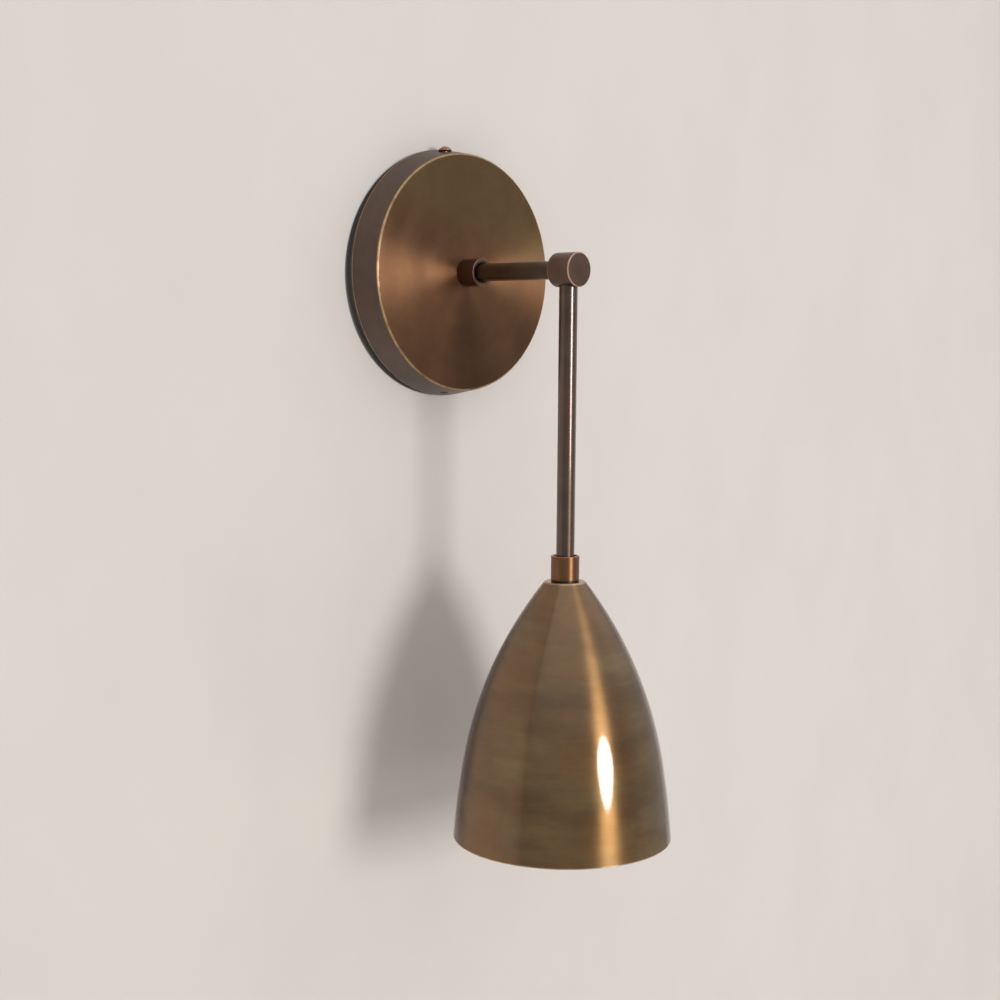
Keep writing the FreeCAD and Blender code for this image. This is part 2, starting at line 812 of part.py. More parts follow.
def knuckle_lead():
    """The lead's turn inside the knuckle, from the arm's swivel to the rod's."""
    bend = size("lead_bend")
    start = KNUCKLE_BACK + size("face_gap")
    reach = size("rod_axis_reach")
    low = drop_by(bend)
    downward = Rotation(Vector(1, 0, 0), 90)
    pieces = [
        straight_lead("knuckle_run_in", reach - bend - start, z=start),
        quarter_bend("knuckle_bend", bend, ZERO, low, reach - bend, Vector(0, 1, 0), Vector(0, 0, 1)),
        straight_lead("knuckle_run_out", KNUCKLE_SEAT - bend, y=low, z=reach, turn=downward),
    ]
    return place(fuse("knuckle_lead", pieces), ARM)


def rod_lead():
    start = KNUCKLE_SEAT + size("face_gap")
    return lathe("rod_lead", ROD, [(ZERO, start), (half("lead_diameter"), start),
                                   (half("lead_diameter"), CORE_TOP), (ZERO, CORE_TOP)])


def terminal_places():
    """Middle of each terminal screw, across and up: a supply and a lamp screw for each pole."""
    quarter = size("terminal_length") / 4
    pole = half("terminal_pole_spacing")
    for along in (TERMINAL_START + quarter + size("terminal_entry_depth") / 2, TERMINAL_START + quarter * 3):
        for up in (pole, drop_by(pole)):
            yield along, up


def terminal_block():
    """Two-pole block on the inside of the canopy, with screw wells that open towards the wall."""
    lift = size("terminal_lift")
    deep = CANOPY_INSIDE - lift
    wide = size("terminal_width")
    block = primitive("Box", "terminal_blank", Length=size("terminal_length"), Width=wide, Height=deep)
    at(block, TERMINAL_START, drop_by(wide / 2), lift)
    along_x = Rotation(Vector(0, 1, 0), 90)
    entry_r = half("lead_diameter") + size("thread_clearance")
    entry = primitive("Cylinder", "terminal_entry", Radius=entry_r, Height=size("terminal_entry_depth") * 2)
    at(entry, TERMINAL_START - size("terminal_entry_depth"), ZERO, size("supply_lead_lift"), along_x)
    tools = [entry]
    for index, (along, up) in enumerate(terminal_places()):
        depth = size("terminal_well_depth") + lift
        well_r = half("terminal_well_diameter")
        well = primitive("Cylinder", f"terminal_well_{index}", Radius=well_r, Height=depth)
        tools.append(at(well, along, up, ZERO))
    far = TERMINAL_START + size("terminal_length") - size("terminal_entry_depth")
    port_r = half("terminal_screw_diameter")
    pole = half("terminal_pole_spacing")
    for index, up in enumerate((pole, drop_by(pole))):
        port = primitive("Cylinder", f"terminal_port_{index}", Radius=port_r, Height=size("terminal_length"))
        tools.append(at(port, far, up, lift + size("terminal_well_depth"), along_x))
    return place(subtract("terminal_block", block, fuse("terminal_tools", tools)), ARM)


def terminal_screws():
    """Four clamping screws, one group of separate solids, sunk in the block's wells."""
    screws = []
    bottom = size("terminal_lift") + size("terminal_well_depth") - size("terminal_screw_length")
    for index, (along, up) in enumerate(terminal_places()):
        screw = primitive(
            "Cylinder",
            f"terminal_screw_{index}",
            Radius=half("terminal_screw_diameter"),
            Height=size("terminal_screw_length"),
        )
        screws.append(at(screw, along, up, bottom))
    group = DOC.addObject("Part::Compound", "terminal_screws")
    group.Label = "terminal_screws"
    group.Links = screws
    return place(group, ARM)


# ---------------------------------------------------------------- shade

def shade_profile_start(top, rim):
    """Where the shade's two tangent arcs meet, as a first guess for the sketch."""
    upper = size("shade_upper_radius").value
    lower = size("shade_lower_radius").value
    flare = math.radians(size("shade_rim_flare").value)
    shoulder = Vector(half("shade_shoulder_diameter").value, top.value, 0)
    edge = Vector(half("shade_rim_diameter").value, rim.value, 0)
    lower_centre = edge + Vector(-math.cos(flare), math.sin(flare), 0) * lower
    gap = shoulder - lower_centre
    span = lower - upper
    along = (span ** 2 - upper ** 2 + gap.Length ** 2) / (2 * gap.Length)
    aside = math.sqrt(max(span ** 2 - along ** 2, 0.0))
    ahead = Vector(gap.x, gap.y, 0).normalize()
    side = Vector(-ahead.y, ahead.x, 0)
    upper_centre = lower_centre + ahead * along + side * aside
    meeting = lower_centre + (upper_centre - lower_centre).normalize() * lower
    return upper_centre, lower_centre, meeting


def arc_about(sketch, centre, radius, start, end):
    """Adds the counter-clockwise arc from start to end about a centre, with its radius tied to the sheet."""
    middle = centre + ((start + end) / 2 - centre).normalize() * radius.value
    edge = sketch.addGeometry(Part.Arc(start, middle, end), False)
    held = sketch.addConstraint(Sketcher.Constraint("Radius", edge, radius.value))
    sketch.setExpression(f"Constraints[{held}]", radius.text)
    return edge


def shade():
    """Spun brass bell: a flat top, then two tangent arcs down to a thin plain rim."""
    body = new_body("shade")
    sketch = new_sketch(body, "XZ_Plane")
    shoulder_r = half("shade_shoulder_diameter")
    rim_r = half("shade_rim_diameter")
    upper_centre, lower_centre, meeting = shade_profile_start(SHADE_TOP, SHADE_RIM)
    top_middle = Vector(0, SHADE_TOP.value, 0)
    shoulder = Vector(shoulder_r.value, SHADE_TOP.value, 0)
    rim = Vector(rim_r.value, SHADE_RIM.value, 0)
    rim_middle = Vector(0, SHADE_RIM.value, 0)
    top = sketch.addGeometry(Part.LineSegment(top_middle, shoulder), False)
    upper = arc_about(sketch, upper_centre, size("shade_upper_radius"), shoulder, meeting)
    lower = arc_about(sketch, lower_centre, size("shade_lower_radius"), meeting, rim)
    bottom = sketch.addGeometry(Part.LineSegment(rim, rim_middle), False)
    axis = sketch.addGeometry(Part.LineSegment(rim_middle, top_middle), False)
    joins = [
        (top, 2, upper, 1),
        (lower, 2, bottom, 1),
        (bottom, 2, axis, 1),
        (axis, 2, top, 1),
    ]
    for join in joins:
        sketch.addConstraint(Sketcher.Constraint("Coincident", *join))
    sketch.addConstraint(Sketcher.Constraint("Tangent", upper, 2, lower, 1))
    pin(sketch, top, 1, ZERO, SHADE_TOP)
    pin(sketch, top, 2, shoulder_r, SHADE_TOP)
    pin(sketch, bottom, 1, rim_r, SHADE_RIM)
    pin(sketch, bottom, 2, ZERO, SHADE_RIM)
    flare_drop = Dim(
        f"({SHADE_RIM.text} + Sizes.shade_lower_radius * sin(Sizes.shade_rim_flare))",
        lower_centre.y,
    )
    held = sketch.addConstraint(Sketcher.Constraint("DistanceY", -1, 1, lower, 3, flare_drop.value))
    sketch.setExpression(f"Constraints[{held}]", flare_drop.text)
    feature(body, "Revolution", sketch, ReferenceAxis=(sketch, ["V_Axis"]), Angle=360.0)
    ease_edge(body, "Fillet", shoulder_r, SHADE_TOP, size("shade_shoulder_round"))
    hollow_out(body, SHADE_RIM, size("shade_wall"))
    through = SHADE_TOP + size("shade_wall") * 2
    cut(body, "XY_Plane", lambda drawn: circle(drawn, THREAD_BORE_R * 2), through, True)
    return place(body, ROD)


# ---------------------------------------------------------------- lamp holder

def holder_cap():
    """Top half of the lamp holder, with a tapped neck for the nipple."""
    top = HOLDER_TOP
    neck = half("holder_neck_diameter")
    outer = half("holder_diameter")
    wall = size("holder_wall")
    lip = wall
    corners = [
        (THREAD_BORE_R, top),
        (neck, top),
        (neck, top + size("holder_neck_height")),
        (outer, HOLDER_SPLIT - lip),
        (outer, HOLDER_SPLIT),
        (outer - wall, HOLDER_SPLIT),
        (outer - wall, HOLDER_SPLIT - lip / 2),
        (neck - wall / 2, HOLDER_BOSS_END + wall / 2),
        (THREAD_BORE_R, HOLDER_BOSS_END),
    ]
    return lathe("holder_cap", ROD, corners)


def holder_body():
    """Lower half of the lamp holder: a skirt that narrows at its mouth."""
    outer = half("holder_diameter")
    mouth = half("holder_mouth_diameter")
    wall = size("holder_wall")
    step = size("holder_mouth_height")
    corners = [
        (outer - wall, HOLDER_SPLIT),
        (outer, HOLDER_SPLIT),
        (outer, HOLDER_MOUTH - step),
        (mouth, HOLDER_MOUTH - step + wall),
        (mouth, HOLDER_MOUTH),
        (mouth - wall / 2, HOLDER_MOUTH),
        (mouth - wall / 2, HOLDER_MOUTH - step + wall / 2),
        (outer - wall, HOLDER_MOUTH - step - wall / 2),
    ]
    return lathe("holder_body", ROD, corners)


def holder_core():
    """Insulating disc across the holder, which carries the screw shell and the contact."""
    edge = half("holder_diameter") - size("holder_wall") - size("thread_clearance")
    corners = [(ZERO, CORE_TOP), (edge, CORE_TOP), (edge, CORE_FACE), (ZERO, CORE_FACE)]
    return lathe("holder_core", ROD, corners)


def rounds(root, start, length):
    """(radius, station) points of a rolled screw profile that swells once in each pitch."""
    count = max(int(length.value / SIZES["thread_pitch"]), 1)
    points = [(root, start)]
    for turn in range(count):
        pitch = size("thread_pitch")
        points.append((root + size("thread_height"), start + pitch * (turn + 0.5)))
        points.append((root, start + pitch * (turn + 1)))
    points.append((root, start + length))
    return points


def rolled_shell(label, root, start, length, wall):
    """Thin threaded sleeve: the rolled profile outside, and the same one inside its wall."""
    outside = rounds(root, start, length)
    inside = [(radius - wall, station) for radius, station in reversed(outside)]
    return lathe(label, ROD, outside + inside)


def holder_screw_shell():
    root = half("shell_root_diameter")
    return rolled_shell("holder_screw_shell", root, CORE_FACE, size("shell_length"), size("shell_wall"))


def holder_contact():
    """Sprung centre contact: a strip fixed to the core and bent down to the bulb's button."""
    body = new_body("holder_contact")
    sketch = new_sketch(body, "XZ_Plane")
    wide = size("contact_width")
    bend = size("contact_bend")
    thick = size("contact_thickness")
    low = CORE_FACE + size("holder_core_drop")
    corners = [
        (drop_by(wide), CORE_FACE),
        (drop_by(bend), CORE_FACE),
        (wide / 2, low - thick),
        (wide / 2, low),
        (drop_by(bend), CORE_FACE + thick),
        (drop_by(wide), CORE_FACE + thick),
    ]
    close_outline(sketch, corners)
    feature(body, "Pad", sketch, Length=wide, Midplane=True)
    return place(body, ROD)


# ---------------------------------------------------------------- bulb

BULB_INSULATOR = BULB_TOP + size("bulb_button_height")
BULB_CAP_START = BULB_INSULATOR + size("bulb_insulator_height")
BULB_CAP_END = BULB_CAP_START + size("bulb_cap_length")
BULB_NECK_START = BULB_CAP_END - size("bulb_neck_overlap")
BULB_BOTTOM = BULB_TOP + size("bulb_length")
BULB_CAP_ROOT_R = half("bulb_cap_diameter") - size("thread_height")
BULB_NECK_R = BULB_CAP_ROOT_R - size("bulb_cap_wall") - size("thread_clearance")
BULB_NECK_END = BULB_CAP_END + size("bulb_neck_rise")


def bulb_contact():
    button = half("bulb_button_diameter")
    corners = [(ZERO, BULB_TOP), (button / 2, BULB_TOP), (button, BULB_INSULATOR), (ZERO, BULB_INSULATOR)]
    return lathe("bulb_contact", ROD, corners)


def bulb_insulator():
    inner = half("bulb_button_diameter") + size("bulb_cap_wall")
    outer = BULB_CAP_ROOT_R - size("bulb_insulator_inset")
    corners = [
        (ZERO, BULB_INSULATOR),
        (inner, BULB_INSULATOR),
        (outer, BULB_CAP_START),
        (ZERO, BULB_CAP_START),
    ]
    return lathe("bulb_insulator", ROD, corners)


def bulb_cap():
    wall = size("bulb_cap_wall")
    return rolled_shell("bulb_cap", BULB_CAP_ROOT_R, BULB_CAP_START, size("bulb_cap_length"), wall)


def bulb_outline(inset):
    """Half section of the envelope, inset from its outside: neck, tangent blend, ball down to the pole."""
    ball = half("bulb_diameter")
    neck = BULB_NECK_R
    middle = BULB_BOTTOM - ball
    fall = middle - BULB_NECK_END
    blend = (neck * neck + fall * fall - ball * ball) / ((ball - neck) * 2)
    skin = ball - inset
    corners = [
        (neck - inset, BULB_NECK_START),
        (neck - inset, BULB_NECK_END),
        (skin * (neck + blend) / (ball + blend), middle - skin * fall / (ball + blend)),
        (ZERO, middle + skin),
    ]
    return corners, blend + inset, skin


def bulb_glass():
    """Pear-shaped glass envelope, closed at its pole and open inside the cap."""
    outside, outer_blend, outer_ball = bulb_outline(ZERO)
    inside, inner_blend, inner_ball = bulb_outline(size("bulb_glass_wall"))
    arcs = {1: (outer_blend, -1), 2: (outer_ball, 1), 4: (inner_ball, -1), 5: (inner_blend, 1)}
    return lathe("bulb_glass", ROD, outside + inside[::-1], arcs)


STEM_START = BULB_NECK_START
STEM_TIP = STEM_START + size("bulb_stem_length")
STEM_R = half("bulb_stem_diameter")


def bulb_stem():
    """Glass stem: a flare that closes the neck, and a rod that carries the filaments."""
    flare = BULB_NECK_R - size("bulb_glass_wall") - size("thread_clearance")
    rim = size("bulb_glass_wall")
    corners = [
        (ZERO, STEM_START),
        (flare, STEM_START),
        (flare, STEM_START + rim),
        (STEM_R, STEM_START + size("bulb_stem_flare")),
        (STEM_R, STEM_TIP),
        (ZERO, STEM_TIP),
    ]
    return lathe("bulb_stem", ROD, corners)


def filament_span():
    low = STEM_TIP - size("filament_diameter")
    return low - size("filament_length"), low


def bulb_filament_discs():
    """Two thin metal stars, drawn as discs on the stem, which hold the filaments' ends."""
    first, last = filament_span()
    thick = size("contact_thickness")
    outer = half("filament_circle") + size("filament_diameter")
    inner = STEM_R + size("thread_clearance")
    discs = []
    for index, start in enumerate((first - thick, last)):
        disc = primitive("Cylinder", f"filament_disc_{index}", Radius=outer, Height=thick)
        hole = primitive("Cylinder", f"filament_disc_hole_{index}", Radius=inner, Height=thick)
        discs.append(subtract(f"filament_disc_cut_{index}", at(disc, z=start), at(hole, z=start)))
    group = DOC.addObject("Part::Compound", "bulb_filament_discs")
    group.Label = "bulb_filament_discs"
    group.Links = discs
    return place(group, ROD)


def bulb_filaments():
    """Four upright lit rods in a ring round the stem."""
    first, last = filament_span()
    circle_r = half("filament_circle")
    rods = []
    for index in range(FILAMENTS):
        turn = 2 * math.pi * (index + 0.5) / FILAMENTS
        height = last - first
        rod = primitive("Cylinder", f"filament_{index}", Radius=half("filament_diameter"), Height=height)
        rods.append(at(rod, circle_r * math.cos(turn), circle_r * math.sin(turn), first))
    group = DOC.addObject("Part::Compound", "bulb_filaments")
    group.Label = "bulb_filaments"
    group.Links = rods
    return place(group, ROD)


# ---------------------------------------------------------------- the whole object

def wall_pieces():
    washer_start = CANOPY_INSIDE - size("lock_washer_thickness")
    nipple_start = washer_start - size("lock_nut_thickness") - size("nipple_tail")
    return [
        mounting_strap(),
        ground_screw(),
        canopy(),
        canopy_dome_screw(),
        canopy_set_screw(),
        lock_washer("arm_lock_washer", ARM, washer_start),
        lock_nut("arm_lock_nut", ARM, washer_start - size("lock_nut_thickness")),
        threaded_nipple("arm_nipple", ARM, nipple_start, ARM_TUBE_START - size("face_gap")),
        collar("wall_collar", ARM, CANOPY_FACE, mouth_first=False),
        tube("arm_tube", ARM, ARM_TUBE_START, ARM_TUBE_END),
        swivel_bush("arm_swivel_bush", ARM, ARM_TUBE_END - size("bush_length")),
        swivel_washer("arm_swivel_washer", ARM, ARM_TUBE_END),
        terminal_block(),
        terminal_screws(),
        supply_lead(),
    ]


def knuckle_pieces():
    return [
        knuckle(),
        arm_swivel_spindle(),
        rod_swivel_spindle(),
        swivel_washer("rod_swivel_washer", ROD, KNUCKLE_SEAT),
        knuckle_lead(),
    ]


def pendant_pieces():
    return [
        swivel_bush("rod_swivel_bush", ROD, ROD_START),
        tube("down_rod", ROD, ROD_START, ROD_END),
        collar("shade_collar", ROD, size("rod_drop"), mouth_first=True),
        threaded_nipple("shade_nipple", ROD, ROD_END + size("face_gap"), HOLDER_BOSS_END),
        lathe(
            "shade_washer",
            ROD,
            ring(THREAD_BORE_R, half("shade_washer_diameter"), SHADE_COLLAR_END, SHADE_TOP),
        ),
        shade(),
        lock_washer("shade_lock_washer", ROD, INNER_WASHER),
        lock_nut("shade_lock_nut", ROD, INNER_NUT),
        rod_lead(),
        holder_cap(),
        holder_body(),
        holder_core(),
        holder_screw_shell(),
        holder_contact(),
        bulb_contact(),
        bulb_insulator(),
        bulb_cap(),
        bulb_glass(),
        bulb_stem(),
        bulb_filament_discs(),
        bulb_filaments(),
    ]


def check_document():
    for thing in DOC.Objects:
        if "Invalid" in thing.State or "Error" in thing.State:
            raise RuntimeError(f"{thing.Label} failed: {thing.State}")


def write(pieces):
    os.makedirs("parts", exist_ok=True)
    for piece in pieces:
        shape = piece.Shape
        if shape.isNull() or not shape.isValid() or not shape.Solids:
            raise RuntimeError(f"{piece.Label} has no sound solid")
        print(f"{piece.Label:22s} solids {len(shape.Solids)}  volume {shape.Volume:12.2f} mm3")
        shape.exportStep(f"parts/{piece.Label}.step")


PIECES = wall_pieces() + knuckle_pieces() + pendant_pieces()
DOC.recompute()
check_document()
write(PIECES)
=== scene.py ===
"""Look of a hanging pendant wall sconce in antique brass: camera, light, finishes and fine turned meshes."""

import math

import bpy
from mathutils import Matrix, Vector


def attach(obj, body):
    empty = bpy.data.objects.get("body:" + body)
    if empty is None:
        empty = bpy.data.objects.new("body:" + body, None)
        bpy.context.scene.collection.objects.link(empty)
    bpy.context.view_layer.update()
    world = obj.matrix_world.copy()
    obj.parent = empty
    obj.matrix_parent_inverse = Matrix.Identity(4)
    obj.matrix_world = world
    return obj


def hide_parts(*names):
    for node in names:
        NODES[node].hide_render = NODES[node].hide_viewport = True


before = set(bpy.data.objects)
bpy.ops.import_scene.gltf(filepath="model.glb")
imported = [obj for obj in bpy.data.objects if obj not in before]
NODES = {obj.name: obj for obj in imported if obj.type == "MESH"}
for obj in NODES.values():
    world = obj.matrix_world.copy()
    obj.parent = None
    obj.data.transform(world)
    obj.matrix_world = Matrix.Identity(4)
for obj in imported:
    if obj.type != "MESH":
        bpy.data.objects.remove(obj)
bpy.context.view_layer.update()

# ---------------------------------------------------------------- sizes, in metres

MM = 0.001
REACH = 91.4 * MM
TUBE_R, TUBE_WALL, THREAD_R = 4.75 * MM, 0.8 * MM, 4.79 * MM
CANOPY_BACK_R, CANOPY_FRONT_R, CANOPY_DEPTH, CANOPY_ROUND = 66.5 * MM, 63.5 * MM, 16.8 * MM, 1.4 * MM
DOME_ASIDE, DOME_DEPTH, DOME_SEAT, DOME_TOP, DOME_R = 7.4 * MM, 7.4 * MM, 64.929 * MM, 67.329 * MM, 3.65 * MM
DOME_TIP, DOME_SHANK_R, DOME_NECK_R, DOME_NECK_DEPTH = 57.4 * MM, 2.0 * MM, 2.6 * MM, 0.55 * MM
DOME_EDGE, DOME_RIM_ROUND = 0.4 * MM, 0.3 * MM
COLLAR_R, COLLAR_LENGTH, COLLAR_EASE = 7.4 * MM, 12.6 * MM, 0.35 * MM
MOUTH_R, MOUTH_DEPTH, THROAT_R, THROAT_DEPTH = 6.1 * MM, 0.7 * MM, 5.35 * MM, 2.2 * MM
KNUCKLE_R, KNUCKLE_LENGTH, KNUCKLE_EDGE = 8.8 * MM, 14.8 * MM, 0.4 * MM
TUBE_OVERLAP = COLLAR_LENGTH / 2
SWIVEL_GAP = 0.55 * MM
ARM_TUBE_END = REACH - KNUCKLE_LENGTH / 2 - SWIVEL_GAP
ROD_START, ROD_DROP = 8.25 * MM, 146.4 * MM
WASHER_R, WASHER_THICKNESS = 7.25 * MM, 0.7 * MM
SHADE_TOP, SHADE_HEIGHT, SHADE_RIM_R, SHADE_SHOULDER_R = 159.7 * MM, 134.9 * MM, 57.15 * MM, 10.55 * MM
SHADE_UPPER_R, SHADE_LOWER_R, SHADE_FLARE = 210.0 * MM, 448.0 * MM, math.radians(4.4)
SHADE_WALL, SHADE_SHOULDER_ROUND = 1.0 * MM, 1.2 * MM

# ---------------------------------------------------------------- camera

CAMERA_PLACE = Vector((-0.61415, -0.64933, -0.03424))
CAMERA_YAW, CAMERA_PITCH, CAMERA_ROLL = math.radians(45.40), math.radians(5.76), math.radians(0.462)
CAMERA_LENS, CAMERA_SENSOR = 58.2, 36.0


def make_camera():
    ahead = Vector((
        math.sin(CAMERA_YAW) * math.cos(CAMERA_PITCH),
        math.cos(CAMERA_YAW) * math.cos(CAMERA_PITCH),
        -math.sin(CAMERA_PITCH),
    ))
    right = Vector((math.cos(CAMERA_YAW), -math.sin(CAMERA_YAW), 0.0))
    up = right.cross(ahead)
    rolled_right = right * math.cos(CAMERA_ROLL) + up * math.sin(CAMERA_ROLL)
    rolled_up = up * math.cos(CAMERA_ROLL) - right * math.sin(CAMERA_ROLL)
    camera = bpy.data.cameras.new("camera")
    camera.sensor_width = CAMERA_SENSOR
    camera.lens = CAMERA_LENS
    thing = bpy.data.objects.new("camera", camera)
    turn = Matrix((rolled_right, rolled_up, -ahead)).transposed().to_4x4()
    thing.matrix_world = Matrix.Translation(CAMERA_PLACE) @ turn
    bpy.context.scene.collection.objects.link(thing)
    bpy.context.scene.camera = thing


# ---------------------------------------------------------------- node helpers

# how far noise is drawn out round a turned piece, and how much of a rubbed ring is fully bright
STRETCH = 0.38
WEAR_CORE = 0.25
# patina high on the canopy's face, and painted shade in a fan below and to the right: slopes, and distances
# from its middle in metres
FACE_HIGH_LEAN, FACE_HIGH_FROM, FACE_HIGH_TO = 0.35, 0.004, 0.040
FAN_MIDDLE, FAN_EDGE, FAN_START = 0.02, 0.62, 0.012
FACE_RIGHT_LEAN, FACE_RIGHT_FROM, FACE_RIGHT_TO = 0.6, 0.005, 0.060


class Nodes:
    """Short calls for building one material's node tree."""

    def __init__(self, tree):
        self.tree = tree
        tree.nodes.clear()

    def new(self, kind, inputs=None, **settings):
        node = self.tree.nodes.new(kind)
        for name, value in settings.items():
            setattr(node, name, value)
        for name, value in (inputs or {}).items():
            self.feed(node.inputs[name], value)
        return node

    def feed(self, socket, value):
        if isinstance(value, bpy.types.NodeSocket):
            self.tree.links.new(value, socket)
        elif socket.type == "RGBA" and len(value) == 3:
            socket.default_value = (*value, 1.0)
        else:
            socket.default_value = value

    def math(self, operation, first, second=0.0):
        return self.new("ShaderNodeMath", {0: first, 1: second}, operation=operation).outputs[0]

    def scale(self, vector, amounts):
        return self.new("ShaderNodeVectorMath", {0: vector, 1: amounts}, operation="MULTIPLY").outputs[0]

    def noise(self, vector, scale, detail=3.0, roughness=0.55):
        inputs = {"Vector": vector, "Scale": scale, "Detail": detail, "Roughness": roughness}
        return self.new("ShaderNodeTexNoise", inputs).outputs["Fac"]

    def span(self, value, low, high, to_low=0.0, to_high=1.0):
        inputs = {"Value": value, "From Min": low, "From Max": high, "To Min": to_low, "To Max": to_high}
        return self.new("ShaderNodeMapRange", inputs, interpolation_type="SMOOTHSTEP").outputs[0]

    def mix(self, amount, first, second):
        node = self.new("ShaderNodeMix", data_type="RGBA")
        self.feed(node.inputs["Factor"], amount)
        self.feed(node.inputs["A"], first)
        self.feed(node.inputs["B"], second)
        return node.outputs["Result"]

    def bump(self, height, distance, strength):
        inputs = {"Height": height, "Distance": distance, "Strength": strength}
        return self.new("ShaderNodeBump", inputs).outputs[0]

    def place(self):
        return self.new("ShaderNodeTexCoord").outputs["Object"]

    def grey(self, value):
        return self.new("ShaderNodeCombineXYZ", {"X": value, "Y": value, "Z": value}).outputs[0]

    def length(self, first, second):
        squares = [self.math("MULTIPLY", side, side) for side in (first, second)]
        return self.math("SQRT", self.math("ADD", *squares))

    def turned_place(self, axis):
        """Radius, station, their sum and a place for noise that is drawn out round the piece.

        The station runs from the wall into the room, or down the hanging rod.
        """
        split = self.new("ShaderNodeSeparateXYZ", {0: self.place()})
        x, y, z = split.outputs
        if axis == "Y":
            radius = self.length(x, z)
            station = self.math("MULTIPLY", y, -1.0)
            across = z
        else:
            across = self.math("ADD", y, REACH)
            radius = self.length(x, across)
            station = self.math("MULTIPLY", z, -1.0)
        along = self.math("ADD", radius, station)
        inputs = {
            "X": self.math("MULTIPLY", x, STRETCH),
            "Y": self.math("MULTIPLY", across, STRETCH),
            "Z": along,
        }
        return radius, station, along, self.new("ShaderNodeCombineXYZ", inputs).outputs[0]

    def ring_wear(self, radius, station, rings):
        """1 on each worn ring, which is (radius, station, width), and 0 away from them."""
        worn = None
        for ring_radius, ring_station, width in rings:
            gaps = (self.math("SUBTRACT", radius, ring_radius), self.math("SUBTRACT", station, ring_station))
            near = self.span(self.length(*gaps), width * WEAR_CORE, width, 1.0, 0.0)
            worn = near if worn is None else self.math("MAXIMUM", worn, near)
        return worn

    def face_patina_and_painted_shade(self, tint, high_tint, painted_shade_below, painted_shade_right):
        """A flat face's patina, another colour high up, and painted shade: darker to the right and in a fan
        straight below.
        """
        x, _, z = self.new("ShaderNodeSeparateXYZ", {0: self.place()}).outputs
        rise = self.math("ADD", z, self.math("MULTIPLY", x, FACE_HIGH_LEAN))
        tint = self.mix(self.span(rise, FACE_HIGH_FROM, FACE_HIGH_TO), tint, high_tint)
        # painted shade: the face is painted darker in a fan straight below its middle and towards the right
        fall = self.math("MULTIPLY", z, -1.0)
        steep = self.math("DIVIDE", self.math("ABSOLUTE", x), self.math("MAXIMUM", fall, MM))
        under = self.span(steep, FAN_MIDDLE, FAN_EDGE, 1.0, 0.0)
        fan = self.math("MULTIPLY", under, self.span(fall, 0.0, FAN_START))
        below = self.math("SUBTRACT", 1.0, self.math("MULTIPLY", fan, 1.0 - painted_shade_below))
        lean = self.math("ADD", x, self.math("MULTIPLY", fall, FACE_RIGHT_LEAN))
        right = self.span(lean, FACE_RIGHT_FROM, FACE_RIGHT_TO, 1.0, painted_shade_right)
        return self.scale(tint, self.grey(self.math("MULTIPLY", below, right)))

    def surface(self, shader):
        self.new("ShaderNodeOutputMaterial", {"Surface": shader.outputs[0]})


def new_material(name):
    material = bpy.data.materials.new(name)
    material.use_nodes = True
    return material, Nodes(material.node_tree)


# ---------------------------------------------------------------- finishes

# noise scales are per metre; reaches, reliefs and edges are in metres
WOBBLE_SCALE, WOBBLE_REACH = 18.0, 0.0006
LINE_SCALE, LINE_RELIEF = 2600.0, 0.000002
CLOUD_SCALE, PATCH_SCALE, BLOTCH_SCALE = 52.0, 22.0, 150.0
GRAIN_SCALE, GRAIN_RELIEF, GRAIN_STRENGTH = 1100.0, 0.000006, 0.9
# the last two are where the skirt's painted reflection of the floor starts and is full, below the middle, in
# metres
SKIRT_EDGE, SKIRT_REFLECTION_FROM, SKIRT_REFLECTION_TO = 0.0012, 0.010, 0.058
BAND_STRETCH, BAND_SCALE = (0.22, 0.22, 1.0), 52.0
STREAK_STRETCH, STREAK_SCALE, STREAK_SHARE = (0.05, 0.05, 1.0), 900.0, 0.22
RUBBED_BRASS = (0.62, 0.42, 0.24)
WHITE = (1.0, 1.0, 1.0)


